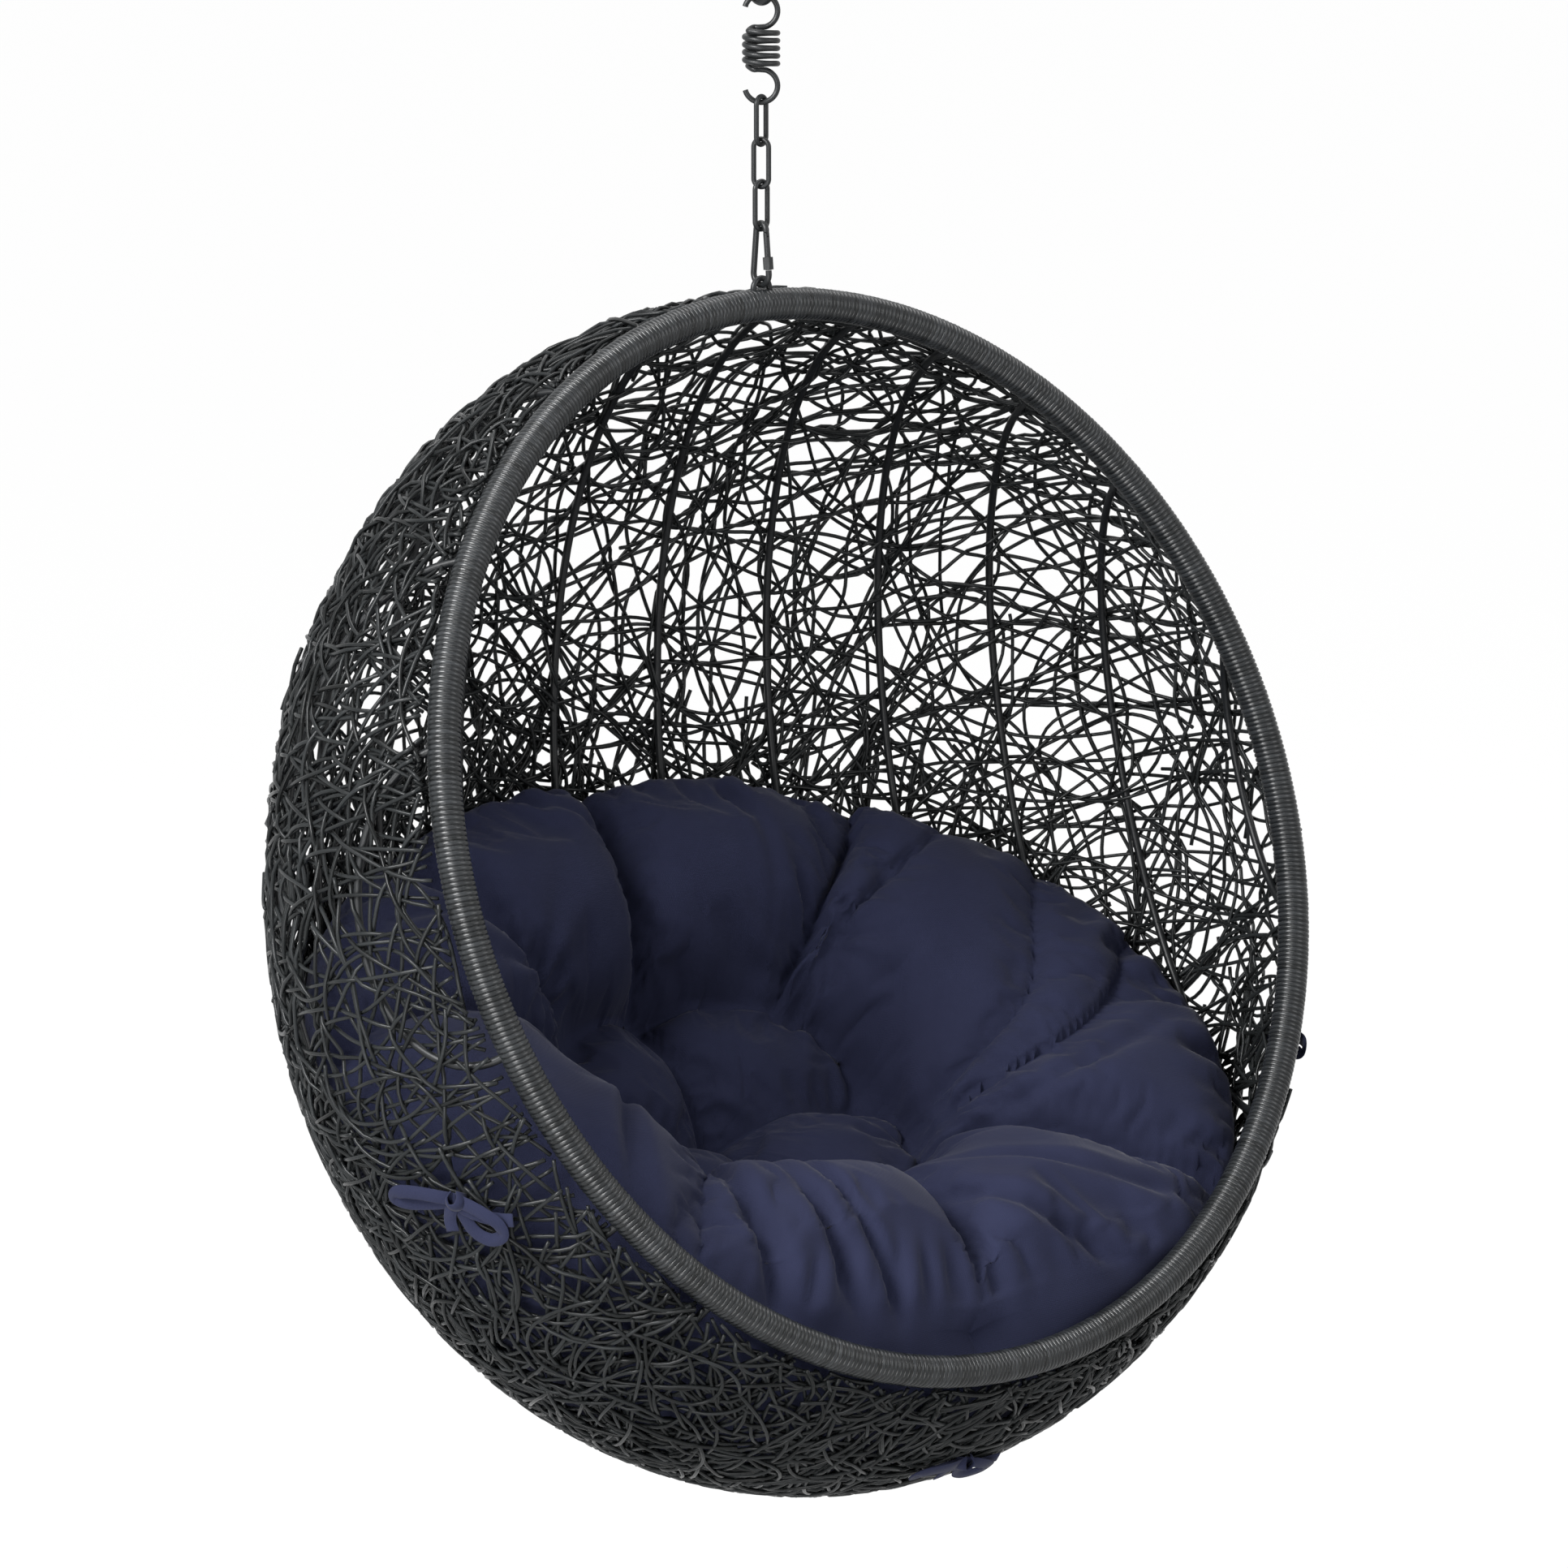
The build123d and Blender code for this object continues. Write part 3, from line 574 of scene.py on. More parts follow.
# %% Rim winding
TURNS = 700
PROFILE = np.array((0.0, 0.07, 0.22, 0.5, 0.78, 0.93))
AROUND = 22
SWELL_SPREAD = 0.00009
GROOVE_SHADE = 0.1
turn_rng = np.random.default_rng(7)
turn_swell = turn_rng.normal(size=TURNS) * SWELL_SPREAD
turn_shade = np.clip(turn_rng.normal(0.5, 0.2, TURNS), 0, 1)
rows = TURNS * len(PROFILE)
turn_number = np.repeat(np.arange(TURNS), len(PROFILE))
share = np.tile(PROFILE, TURNS)
swell = np.sqrt(np.clip(1 - (2 * share - 1) ** 2, 0, 1))
radius = RIM_TUBE_RADIUS + WRAP_CANE * (0.5 + 0.5 * swell) + turn_swell[turn_number] * swell
round_angle = np.arange(AROUND) * (2 * np.pi / AROUND)
ring_angle = (turn_number + share)[:, None] + round_angle[None, :] / (2 * np.pi)
ring_angle = ring_angle * (2 * np.pi / TURNS)
outward = SIDE * np.sin(ring_angle)[..., None] + rim_up * np.cos(ring_angle)[..., None]
winding = rim_centre + outward * RIM_RADIUS + radius[:, None, None] * (
    outward * np.cos(round_angle)[None, :, None] + rim_back * np.sin(round_angle)[None, :, None])
row = np.arange(rows)
quads = []
for column in range(AROUND):
    beside = (column + 1) % AROUND
    onward = row if beside else row + len(PROFILE)
    quads.append(np.stack((row * AROUND + column, (row + 1) % rows * AROUND + column,
                           (onward + 1) % rows * AROUND + beside, onward % rows * AROUND + beside), -1))
# Each turn's own random tone, darkened towards the groove between turns: the darker groove is painted shade
tone_and_groove_shade = turn_shade[turn_number] * (GROOVE_SHADE + (1 - GROOVE_SHADE) * swell)
rim_winding = quad_mesh("rim_winding", winding.reshape(-1, 3), np.concatenate(quads), wrap_cane,
                        np.repeat(tone_and_groove_shade, AROUND))
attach(rim_winding, "basket")
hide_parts("rim_wrap")
print("rim winding:", TURNS, "turns of", round(2 * math.pi * RIM_RADIUS / TURNS * 1000, 2), "mm")

# %% [markdown]
# ## Cushion
# The real cushion is one round cover, stuffed with loose fibre and drawn down by a few stitched tufts.
# Creases run from the tufts to the edge and split the border into lobes, and the front lobes are the
# fullest. Sculpting would do, but a height over the cushion's edge plane is easier to change: a ring of
# lobes, four seat panels and folds that run out from each tuft. The underside simply lies on the bowl.

# %% Cushion: lobes and tufts
LOBES = (
    # heading of a crease at the wall and at the tufts, its strength, and the height of the lobe after it
    (-183, -205, 0.9, 0.088),
    (-138, -141, 0.4, 0.076),
    (-92, -76, 0.9, 0.044),
    (-40, -30, 0.9, 0.036),
    (3, -24, 0.35, 0.033),
    (18, -16, 0.9, 0.034),
    (30, 30, 0.55, 0.034),
    (42, 36, 0.9, 0.040),
    (86, 97, 1.0, 0.046),
    (130, 147, 0.9, 0.062),
)
TUFTS = ((0.192, 0.127), (-0.192, 0.127), (0.193, -0.084), (-0.193, -0.084))
PINCHES = (
    # heading, width in degrees and depth of short folds across the fuller lobes
    (205, 2.2, 0.020),
    (229, 2.6, 0.026),
    (243, 2.0, 0.020),
    (251, 1.6, 0.016),
    (290, 2.4, 0.018),
    (306, 2.0, 0.014),
    (338, 2.2, 0.014),
    (64, 2.4, 0.012),
    (104, 2.2, 0.014),
    (150, 2.4, 0.016),
)
SEAT_REACH = 0.150
SEAT_RADIUS = 0.170
SEAT_DEPTH = 0.262
CREST = 0.80
TUFT_RING = 0.40
CREASE_DEPTH = 0.064
PAD_WALL = -0.0075
PAD_FRONT = 0.022
EDGE_BLEND = 0.012
ROW_STOP = 0.012  # the rows end just short of the middle
AROUND_PAD = 400
ACROSS_PAD = 110
DOWN_PAD = 40
FULL_TURN = 6.28  # radians


def pad_way(angle):
    return SIDE * np.cos(angle)[..., None] + pad_side * np.sin(angle)[..., None]


angle = np.arange(AROUND_PAD) * (2 * np.pi / AROUND_PAD)
edge_wall = np.linalg.norm(bowl_exit(pad_centre, pad_way(angle), PAD_WALL) - pad_centre, axis=1)
toward_rim = np.maximum(-(pad_way(angle) @ rim_back), 1e-3)
edge_front = (behind_rim(pad_centre) - PAD_FRONT) / toward_rim
edge_wall = -EDGE_BLEND * np.logaddexp(-edge_wall / EDGE_BLEND, -np.minimum(edge_front, 2) / EDGE_BLEND)
inward = np.linspace(1, ROW_STOP, ACROSS_PAD)[:, None]
flat_x = np.cos(angle) * edge_wall * inward
flat_y = np.sin(angle) * edge_wall * inward
print("cushion", np.round(edge_wall.min(), 3), "to", np.round(edge_wall.max(), 3), "m from middle to edge")

# %% Cushion: border lobes
CREST_ROUND = 2.4
LOBE_ROUND = 2.3
INNER_DROP = 0.125
RING_SLOPE = 0.5
FULL_LOBE = 38  # degrees; a narrower lobe is creased less
CREASE_WIDTH = 0.012
CREASE_SHARES = (0.3, 0.5, 0.8, 1.0)
CREASE_FORCE = (0.4, 0.9, 1.0, 0.45)
PAD_RADIUS = 0.4
SWAY = 0.9  # degrees
SWAY_RATES = (3, 5, 8)


def border(heading, share):
    """Height of the lobed border, and how close each place is to one of its creases."""
    outer = np.clip((share - TUFT_RING) / (1 - TUFT_RING), 0, 1)
    lines = np.array(LOBES)
    lines = np.vstack((lines, lines[:2] + np.array((360, 360, 0, 0))))
    middle = (lines[:-1, 0] + lines[1:, 0]) / 2
    crest = np.interp(heading, np.append(middle[-2] - 360, middle), np.append(lines[-3, 3], lines[:-1, 3]))
    rise = np.clip((share - CREST) / (1 - CREST), 0, 1)
    fall = np.clip((CREST - share) / (CREST - TUFT_RING), 0, 1)
    ridge = crest - crest * (1 - (1 - rise**CREST_ROUND) ** (1 / CREST_ROUND))
    inner = (crest + INNER_DROP) * (1 - np.sqrt(1 - fall**LOBE_ROUND))
    ridge -= inner + np.clip(TUFT_RING - share, 0, None) * RING_SLOPE
    across = np.full(np.broadcast(heading, share).shape, 1.0)
    near = np.zeros_like(across)
    for before, after in zip(lines[:-1], lines[1:]):
        low = before[1] + (before[0] - before[1]) * outer
        high = after[1] + (after[0] - after[1]) * outer
        for turn in (-360, 0):
            place = 2 * (heading + turn - low) / (high - low) - 1
            inside = np.abs(place) <= 1
            strength = np.where(place < 0, before[2], after[2]) * min(1, (after[0] - before[0]) / FULL_LOBE)
            arch = np.sqrt(np.clip(1 - np.abs(place) ** LOBE_ROUND, 0, 1))
            across = np.where(inside, 1 - strength * (1 - arch), across)
            width = np.radians(high - low) * PAD_RADIUS * share / 2
            close = np.exp(-(((1 - np.abs(place)) * width / CREASE_WIDTH) ** 2))
            near = np.where(inside, close * strength, near)
    depth = CREASE_DEPTH * np.interp(share, CREASE_SHARES, CREASE_FORCE)
    return ridge - depth * (1 - across), near


heading = np.degrees(angle)
heading = np.where(heading > LOBES[0][0] + 360, heading - 360, heading)
wander_rng = np.random.default_rng(5)
sway = sum(np.cos(rate * angle + wander_rng.uniform(0, FULL_TURN) + 5 * inward) for rate in SWAY_RATES)
border_height, border_crease = border(heading + SWAY * sway, inward)
print("border up to", round(float(border_height.max()) * 1000), "mm over the edge plane")

# %% Cushion: seat panels, tufts and folds
SEAT_ROUND = 2.2
SEAT_SEAM = 0.010
SEAT_RUN_OUT = 0.97
RAY_RATES = (6, 9, 14)
RAY_DEPTH = 0.0038
RAY_REACH = 0.08
TUFT_RADIUS = 0.03
TUFT_DENT = 0.008
PINCH_RING = 0.36
PINCH_BAND = 0.11
PINCH_LEAN = 90  # degrees a metre
PINCH_SHOULDER = 0.6
PINCH_SPREAD = 2.4
RIPPLES = 9
RIPPLE_DEPTH = 0.0007
SOFT_JOIN = 0.006
PLEAT_RATES = (37, 53, 71)
PLEAT_DEPTH = 0.0060
PLEAT_MEAN = 1.9
PLEAT_RING = 0.93
PLEAT_BAND = 0.07


def seat(across, along):
    heights = []
    for turn in np.radians((45, 135, 225, 315)):
        x, y = SEAT_REACH * np.cos(turn), SEAT_REACH * np.sin(turn)
        distance = np.hypot(across - x, along - y) / SEAT_RADIUS
        cap = np.clip(1 - distance**SEAT_ROUND, 0, 1) ** (1 / SEAT_ROUND)
        cap = cap - 2 * np.clip(distance - SEAT_RUN_OUT, 0, None)
        heights.append(SEAT_RADIUS * cap - SEAT_DEPTH)
    heights = np.sort(np.array(heights), axis=0)
    return heights[-1], np.exp(-(((heights[-1] - heights[-2]) / SEAT_SEAM) ** 2))


def folds(across, along):
    """Folds that run out from each tuft, with a dent in its middle, and shallow ones everywhere."""
    fold_rng = np.random.default_rng(19)
    depth = np.zeros_like(across)
    for x, y in TUFTS:
        distance = np.hypot(across - x, along - y)
        turn = np.arctan2(along - y, across - x)
        rays = sum(fold_rng.uniform(0.5, 1) * np.cos(rate * turn + fold_rng.uniform(0, FULL_TURN))
                   for rate in RAY_RATES)
        depth += RAY_DEPTH * rays * np.exp(-distance / RAY_REACH) * np.clip(distance / TUFT_RADIUS, 0, 1)
        depth -= TUFT_DENT * np.exp(-((distance / TUFT_RADIUS) ** 2))
    turn = np.degrees(np.arctan2(along, across)) % 360
    outside = np.hypot(across, along) - PINCH_RING
    ring = np.exp(-((outside / PINCH_BAND) ** 2))
    for place, width, amount in PINCHES:
        away = (turn - (place + PINCH_LEAN * outside)) / width
        shoulder = PINCH_SHOULDER * np.exp(-((away / PINCH_SPREAD) ** 2))
        depth -= amount * ring * (np.exp(-(away**2)) - shoulder)
    for _ in range(RIPPLES):
        way = fold_rng.uniform(0, FULL_TURN)
        rate = fold_rng.uniform(25, 70)
        ripple = rate * (across * np.cos(way) + along * np.sin(way)) + fold_rng.uniform(0, FULL_TURN)
        depth += RIPPLE_DEPTH * np.cos(ripple)
    return depth


seat_height, seat_crease = seat(flat_x, flat_y)
apart = border_height - seat_height
rise = np.maximum(border_height, seat_height)
rise = rise + SOFT_JOIN * np.log1p(np.exp(-np.abs(apart) / SOFT_JOIN))
crease = np.where(apart > 0, border_crease, seat_crease)
crease = np.maximum(crease, np.exp(-((apart / CREASE_WIDTH) ** 2)))
pleat_rng = np.random.default_rng(23)
pleats = sum(np.abs(np.cos(rate * angle / 2 + pleat_rng.uniform(0, FULL_TURN))) for rate in PLEAT_RATES)
gather = np.exp(-(((inward - PLEAT_RING) / PLEAT_BAND) ** 2)) * (0.6 + 0.4 * np.cos(4 * angle + 1))
relief = folds(flat_x, flat_y) + PLEAT_DEPTH * (pleats - PLEAT_MEAN) * gather
print("folds up to", round(float(np.abs(relief).max()) * 1000), "mm")


# %% Cushion: mesh
def inside_bowl(points):
    """Points pulled back to the bowl's inside, and behind the rim, where they stand out of it."""
    halves = bowl_halves + PAD_WALL
    sphere = ((points - bowl_centre) @ bowl_axes.T) / halves
    sphere = sphere / np.maximum(np.linalg.norm(sphere, axis=-1, keepdims=True), 1)
    points = bowl_centre + (sphere * halves) @ bowl_axes
    return points + rim_back * np.clip(PAD_FRONT - behind_rim(points), 0, None)[..., None]


top = pad_centre + SIDE * flat_x[..., None] + pad_side * flat_y[..., None] + pad_up * rise[..., None]
down = np.linspace(0, 0.5 * np.pi - ROW_STOP, DOWN_PAD)[1:]
ways = pad_way(angle)[None] * np.cos(down)[:, None, None] - pad_up * np.sin(down)[:, None, None]
under = bowl_exit(pad_centre, ways, PAD_WALL)
pad_rows = inside_bowl(np.concatenate((under[::-1], top)))
column = np.arange(AROUND_PAD)
beside = (column + 1) % AROUND_PAD
low = np.arange(len(pad_rows) - 1)[:, None] * AROUND_PAD
high = low + AROUND_PAD
quads = np.stack((low + column, low + beside, high + beside, high + column), -1).reshape(-1, 4)
half = np.arange(1, AROUND_PAD - 2, 2)
fan = np.stack((np.zeros_like(half), half, half + 1, half + 2), -1)
quads = np.concatenate((quads, fan[:, ::-1], fan + (len(pad_rows) - 1) * AROUND_PAD))
cushion = quad_mesh("cushion_pad", pad_rows.reshape(-1, 3), quads, cushion_canvas)
print("cushion:", len(quads), "quads")

# %% [markdown]
# ## Filling
# Stuffing presses the cover outwards, and the stitches hold it, so the cloth between two creases stands
# in a taut curve with small folds beside the stitches. A cloth simulation with air pressure inside does
# just that. The creases and the underside are pinned, gravity is off, and the movement is capped so that
# the cushion keeps its size.

# %% Cushion: filling
FILL_FRAMES = 16
MOST_SWELL = 0.022
EDGE_ROWS = 3
MIDDLE_ROWS = 2


def fill(piece, held, frames, most):
    """Swells a closed piece with a short cloth simulation and keeps the result as its mesh."""
    group = piece.vertex_groups.new(name="held")
    level = np.round(held * 10).astype(int)
    for share in range(1, 11):
        group.add(np.nonzero(level == share)[0].tolist(), share / 10, "REPLACE")
    cloth = piece.modifiers.new("cloth", "CLOTH")
    cloth.settings.vertex_group_mass = "held"
    cloth.settings.quality = 5
    cloth.settings.tension_stiffness = 20
    cloth.settings.compression_stiffness = 20
    cloth.settings.shear_stiffness = 8
    cloth.settings.bending_stiffness = 0.2
    cloth.settings.shrink_min = -0.06
    cloth.settings.use_pressure = True
    cloth.settings.uniform_pressure_force = 4
    cloth.settings.effector_weights.gravity = 0
    cloth.collision_settings.use_collision = False
    start = np.array([vertex.co for vertex in piece.data.vertices])
    for step in range(1, frames + 1):
        bpy.context.scene.frame_set(step)
    settled = piece.evaluated_get(bpy.context.evaluated_depsgraph_get()).data
    move = np.array([vertex.co for vertex in settled.vertices]) - start
    far = np.linalg.norm(move, axis=1, keepdims=True)
    move *= most * np.tanh(far / most) / np.maximum(far, 1e-9)
    piece.modifiers.remove(cloth)
    piece.vertex_groups.remove(group)
    bpy.context.scene.frame_set(1)
    piece.data.vertices.foreach_set("co", inside_bowl(start + move).astype(np.float32).ravel())
    piece.data.update()
    print("cover moved", np.round(far.mean(), 4), "m on average and", np.round(far.max(), 4), "at most")


held = np.concatenate((np.ones((len(under), AROUND_PAD)), np.clip(crease * 1.1, 0, 1)))
held[len(under) : len(under) + EDGE_ROWS] = 1
held[-MIDDLE_ROWS:] = 1
fill(cushion, held.ravel(), FILL_FRAMES, MOST_SWELL)

# %% Cushion: folds, raised along the filled cover
EDGE_FADE = 0.03
swollen = np.array([vertex.co for vertex in cushion.data.vertices])
out = np.array([corner.vector for corner in cushion.data.vertex_normals])
relief = relief * np.clip((1 - inward) / EDGE_FADE, 0, 1)
relief = np.concatenate((np.zeros((len(under), AROUND_PAD)), relief))
swollen += out * relief.reshape(-1, 1)
cushion.data.vertices.foreach_set("co", swollen.astype(np.float32).ravel())
cushion.data.update()
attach(cushion, "basket")
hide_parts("cushion")
print("cushion from", np.round(swollen.min(axis=0), 3), "to", np.round(swollen.max(axis=0), 3))

# %% [markdown]
# ## Ties
# Three narrow tapes are sewn to the cushion, pushed through the weave and tied in bows on the outside.
# A bow could be a cloth simulation, but tape this stiff keeps the shape that fingers give it. So it is
# a flat ribbon along a drawn line: two loops, two tails and a knot.


# %% Ties: a smooth line through points
def smooth_line(points, per_span):
    """A Catmull-Rom line through points, with an even number of steps a span."""
    padded = np.vstack((2 * points[0] - points[1], points, 2 * points[-1] - points[-2]))
    steps = np.arange(per_span)[:, None] / per_span
    spans = []
    for i in range(len(points) - 1):
        a, b, c, d = padded[i : i + 4]
        spans.append(0.5 * (2 * b + (c - a) * steps + (2 * a - 5 * b + 4 * c - d) * steps**2
                            + (3 * b - a - 3 * c + d) * steps**3))
    return np.vstack(spans + [points[-1:]])


# %% Ties
TAPE_WIDTH = 0.013
TAPE_THICKNESS = 0.0014
TIE_STANDOFF = 0.0135
TAPE_STEPS = 7
TAPE_FACING = np.array((0.05, 0.25, 1))
KNOT_MIDDLE = np.array((0, 2, 2))
KNOT_WIDTH = 0.9
KNOT_THICKNESS = 1.6
TIE_PLACES = {"tie_left": (199, -4), "tie_right": (-19, -4), "tie_bottom": (270, -51)}
LINES = (
    # the flat loop, the hanging loop and the two tails, in millimetres across, up and out from the knot
    ((0, 0, 4), (-18, 4, 8), (-40, 6, 9), (-58, 4, 8), (-63, -4, 6), (-50, -9, 4), (-22, -6, 3),
     (0, 0, 5)),
    ((0, 0, 5), (14, -2, 8), (30, -8, 10), (43, -18, 9), (44, -31, 7), (29, -38, 5), (12, -29, 4),
     (0, 0, 5)),
    ((0, 0, 5), (-6, -10, 6), (-10, -22, 4), (-9, -34, 4)),
    ((0, 0, 5), (10, -8, 6), (26, -14, 5), (42, -16, 4), (56, -15, 4)),
)
KNOT = ((-6, 6, 2), (-8, 2, 8), (-4, -4, 11), (4, -3, 11), (8, 3, 8), (5, 7, 2))


def ribbon(points, faces_way, width, thickness):
    """Points and quads of a flat tape along a line, with its face turned towards a way."""
    tangent = unit(np.gradient(points, axis=0))
    side = unit(np.cross(faces_way, tangent))
    face = np.cross(tangent, side)
    corners = ((1, 0), (0.93, 0.8), (0, 1), (-0.93, 0.8), (-1, 0), (-0.93, -0.8), (0, -1), (0.93, -0.8))
    rings = [points + side * (width / 2 * x) + face * (thickness / 2 * y) for x, y in corners]
    joined = np.append(np.ones(len(points) - 1, bool), False)
    return np.stack(rings, axis=1).reshape(-1, 3), tube_quads(len(points), joined, 8)


for tie_name, (heading, dip) in TIE_PLACES.items():
    heading, dip = math.radians(heading), math.radians(dip)
    way = np.array((math.cos(dip) * math.cos(heading), math.cos(dip) * math.sin(heading), math.sin(dip)))
    seat_place = bowl_exit(pad_centre, way[None], TIE_STANDOFF)[0]
    normal = bowl_normal(to_sphere(seat_place[None]))[0]
    across = unit(np.cross(UP, normal))
    rise_way = np.cross(normal, across)
    basis = np.stack((across, rise_way, normal)) / 1000
    tie_points, tie_quads = [], []
    for line in (*LINES, KNOT):
        shape = smooth_line(np.array(line, float), TAPE_STEPS)
        faces, width, thickness = TAPE_FACING, TAPE_WIDTH, TAPE_THICKNESS
        if line is KNOT:
            faces = shape - KNOT_MIDDLE
            width, thickness = TAPE_WIDTH * KNOT_WIDTH, TAPE_THICKNESS * KNOT_THICKNESS
        points, quads = ribbon(seat_place + shape @ basis, unit(faces @ basis), width, thickness)
        tie_quads.append(quads + sum(len(each) for each in tie_points))
        tie_points.append(points)
    tie = quad_mesh(tie_name + "_bow", np.vstack(tie_points), np.vstack(tie_quads), tape_canvas)
    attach(tie, "basket")
    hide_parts(tie_name)
    print(tie_name, "at", np.round(seat_place, 3))

# %% [markdown]
# ## Spring
# The spring is bent from one wire: a hook, the coil and a second hook. Its upper end stays with the eye
# and its lower end follows the chain, so the coil has to open as the spring stretches. A rigid mesh
# would tear away from one end; here the wire is swept as one plain mesh and attached to no body.

# %% Spring
WIRE_RADIUS = 0.00275
COIL_RADIUS = 0.01575
COIL_PITCH = 0.0073
COIL_TURNS = 5
HOOK_HIGH = -0.03095
HOOK_BEND = 0.006
HOOK_TIP = 15
HOOK_STOP = 75
HOOK_STEPS = 30
HOOK_MIDWAY = 0.4
STEPS_A_TURN = 24
WIRE_SIDES = 12
SPRING_HEADING = math.radians(-40)
turn_in = math.sqrt(COIL_RADIUS**2 - 2 * COIL_RADIUS * HOOK_BEND)
bend_turn = 90 + math.degrees(math.atan2(HOOK_BEND, turn_in))
coil_start = 90 + bend_turn
coil_end = 360 * COIL_TURNS + 270 - bend_turn
coil_high = HOOK_HIGH - 2 * COIL_RADIUS
coil_low = coil_high - COIL_PITCH * (coil_end - coil_start + 2 * bend_turn) / 360
along = np.array((math.cos(SPRING_HEADING), math.sin(SPRING_HEADING), 0))
sideways = np.array((-along[1], along[0], 0))


def hook(centre, first, last):
    angle = np.radians(np.linspace(first, last, HOOK_STEPS))[:, None]
    return along * (COIL_RADIUS * np.cos(angle)) + UP * (centre + COIL_RADIUS * np.sin(angle))


angle = np.linspace(coil_start, coil_end, STEPS_A_TURN * COIL_TURNS)
fall = COIL_PITCH * (angle - coil_start + bend_turn) / 360
angle = np.radians(angle)[:, None]
coil = (along * np.cos(angle) + sideways * np.sin(angle)) * COIL_RADIUS + UP * (coil_high - fall)[:, None]
upper = np.vstack((hook(HOOK_HIGH - COIL_RADIUS, 180 - HOOK_TIP, -HOOK_STOP),
                   along * -turn_in * HOOK_MIDWAY + UP * coil_high,
                   along * -turn_in + UP * coil_high))
lower = np.vstack((along * -turn_in + UP * coil_low,
                   along * -turn_in * HOOK_MIDWAY + UP * coil_low,
                   hook(coil_low - COIL_RADIUS, HOOK_STOP, HOOK_TIP - 180)))
wire = smooth_line(np.vstack((upper, coil, lower)), 3)
tangent = unit(np.gradient(wire, axis=0))
first_axis = [unit(np.cross(tangent[0], sideways))]
for step in range(1, len(wire)):
    axis = first_axis[-1] - tangent[step] * (first_axis[-1] @ tangent[step])
    first_axis.append(unit(axis))
first_axis = np.array(first_axis)
joined = np.append(np.ones(len(wire) - 1, bool), False)
rings = tube_points(wire, first_axis, np.cross(tangent, first_axis), WIRE_RADIUS, WIRE_SIDES)
spring = quad_mesh("coil_spring", rings, tube_quads(len(wire), joined, WIRE_SIDES), hardware_coat)
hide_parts("suspension_spring")
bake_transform(spring)
print("spring:", len(wire), "rings, coil", round(coil_high, 4), "to", round(coil_low, 4))

# %% [markdown]
# ## Camera
# The picture was taken from the chair's right front, a little above its middle. A camera seven metres
# away with a long lens gives the same flat perspective.

# %% Camera
VIEW_AZIMUTH = math.radians(-41.4)
VIEW_ELEVATION = math.radians(10.5)
VIEW_DISTANCE = 7.0
PIXELS_PER_METRE = 1280
IMAGE_SIDE = 1932
SENSOR_WIDTH = 36
MIDDLE_RIGHT = 28
MIDDLE_DOWN = 590
right = Vector((math.cos(VIEW_AZIMUTH), math.sin(VIEW_AZIMUTH), 0))
toward = Vector((math.sin(VIEW_AZIMUTH) * math.cos(VIEW_ELEVATION),
                 -math.cos(VIEW_AZIMUTH) * math.cos(VIEW_ELEVATION), math.sin(VIEW_ELEVATION)))
upward = toward.cross(right)
lens = bpy.data.cameras.new("camera")
lens.sensor_width = SENSOR_WIDTH
lens.lens = SENSOR_WIDTH * PIXELS_PER_METRE * VIEW_DISTANCE / IMAGE_SIDE
lens.clip_end = 60
camera = bpy.data.objects.new("camera", lens)
turned = Matrix((right, upward, toward)).transposed()
# The picture's middle lies to the right of the rim's top and well below it
middle = Vector(RIM_TOP) + right * (MIDDLE_RIGHT / PIXELS_PER_METRE)
middle = middle - upward * (MIDDLE_DOWN / PIXELS_PER_METRE)
camera.matrix_world = Matrix.Translation(middle + toward * VIEW_DISTANCE) @ turned.to_4x4()
scene = bpy.context.scene
scene.collection.objects.link(camera)
scene.camera = camera
scene.view_settings.view_transform = "Standard"
print("lens", round(lens.lens, 1), "mm")

# %% [markdown]
# ## Lamps
# Product pictures use large soft lamps: here a key from the left, a fill from the right, one above and
# one low. Small lamps or a sun would draw hard shadows of every strand. Discs about two metres wide
# soften them, as a softbox does in a studio.

# %% Lamps
BASKET_MIDDLE = Vector((0, 0, -0.9))


def soft_light(name, position, size, watts):
    """A round area light that faces the middle of the basket."""
    data = bpy.data.lights.new(name, "AREA")
    data.shape = "DISK"
    data.size = size
    data.energy = watts
    light = bpy.data.objects.new(name, data)
    aim = BASKET_MIDDLE - Vector(position)
    light.matrix_world = Matrix.Translation(position) @ aim.to_track_quat("-Z", "Y").to_matrix().to_4x4()
    scene.collection.objects.link(light)


soft_light("key", (-3.1, -0.3, 1.3), 1.8, 340)
soft_light("fill", (1.2, -3.6, 0.8), 2.4, 70)
soft_light("top", (0.3, 0.6, 2.4), 2.0, 80)
soft_light("low", (-2.6, -1.5, -1.4), 1.6, 70)
print("lamps:", len(bpy.data.lights))

# %% [markdown]
# ## World
# Behind the chair is plain white paper. Paper that bright would also light the chair from all sides and
# wash its colours out. So the camera sees white, as do mirrored rays and rays through glass, and every
# other ray sees a third of that.


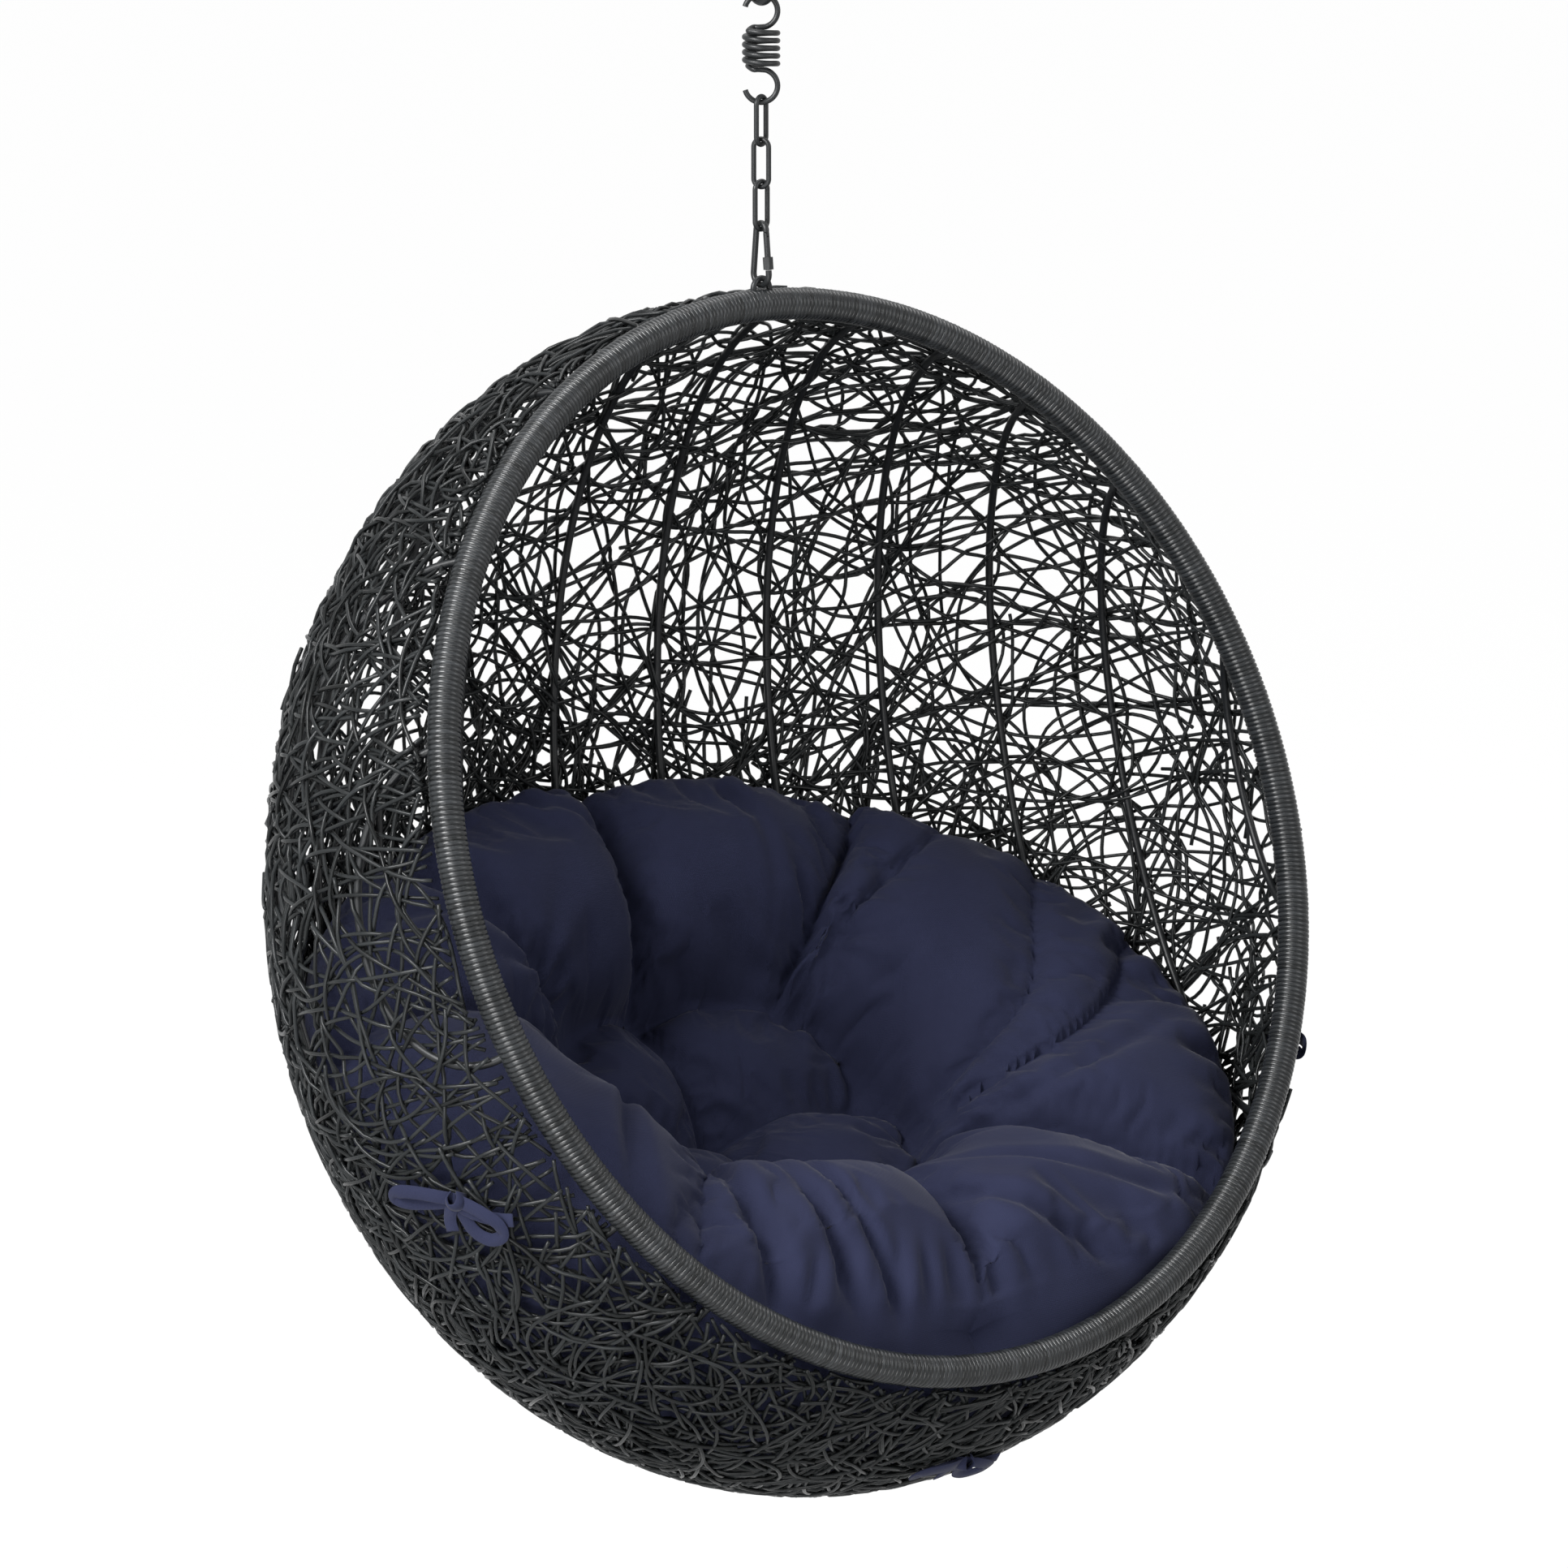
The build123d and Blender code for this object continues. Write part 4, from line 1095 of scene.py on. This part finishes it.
# %% World
def background_rays(tree):
    """One for the rays that see the background itself, and nought for the rays that light the chair."""
    ray = add_node(tree, "LightPath", {}).outputs
    seen = add_node(tree, "Math", {0: ray["Is Camera Ray"], 1: ray["Is Glossy Ray"]}, operation="MAXIMUM")
    seen = add_node(tree, "Math", {0: seen.outputs[0], 1: ray["Is Transmission Ray"]}, operation="MAXIMUM")
    return seen.outputs[0]


AMBIENT = 0.33
world = bpy.data.worlds.new("studio")
scene.world = world
world.use_nodes = True
tree = world.node_tree
tree.nodes.clear()
ambient = add_node(tree, "Background", {"Color": colour("#ffffff"), "Strength": AMBIENT})
backdrop = add_node(tree, "Background", {"Color": colour("#ffffff"), "Strength": 1.0})
seen = background_rays(tree)
mixed = add_node(tree, "MixShader", {0: seen, 1: ambient.outputs[0], 2: backdrop.outputs[0]})
add_node(tree, "OutputWorld", {"Surface": mixed.outputs[0]})
print("world: white behind, and", AMBIENT, "of that as light")

# %% [markdown]
# ## Floor
# The floor is matt white, well below the chair. Paint alone would show grey where the lamps fall off. So
# it glows for the same rays that see the backdrop, and a small share of plain paint keeps the shadow.

# %% Floor
FLOOR_HEIGHT = -1.86
FLOOR_HALF_SIDE = 40
GLOW_SHARE = 0.93
GLOW_STRENGTH = 1.04
floor_paint, tree, surface, _ = start_material("floor_paint", 1.5)
surface.inputs["Base Color"].default_value = colour("#f4f4f4")
surface.inputs["Roughness"].default_value = 0.9
surface.inputs["Specular IOR Level"].default_value = 0.0
share = add_node(tree, "Math", {0: background_rays(tree), 1: GLOW_SHARE}, operation="MULTIPLY")
glow = add_node(tree, "Emission", {"Color": colour("#ffffff"), "Strength": GLOW_STRENGTH})
mixed = add_node(tree, "MixShader", {0: share.outputs[0], 1: surface.outputs[0], 2: glow.outputs[0]})
tree.links.new(mixed.outputs[0], tree.nodes["Material Output"].inputs["Surface"])
mesh = bpy.data.meshes.new("floor")
signs = ((-1, -1), (1, -1), (1, 1), (-1, 1))
corners = [(FLOOR_HALF_SIDE * x, FLOOR_HALF_SIDE * y, FLOOR_HEIGHT) for x, y in signs]
mesh.from_pydata(corners, [], [(0, 1, 2, 3)])
mesh.materials.append(floor_paint)
floor = bpy.data.objects.new("floor", mesh)
scene.collection.objects.link(floor)
print("floor at", FLOOR_HEIGHT, "m")
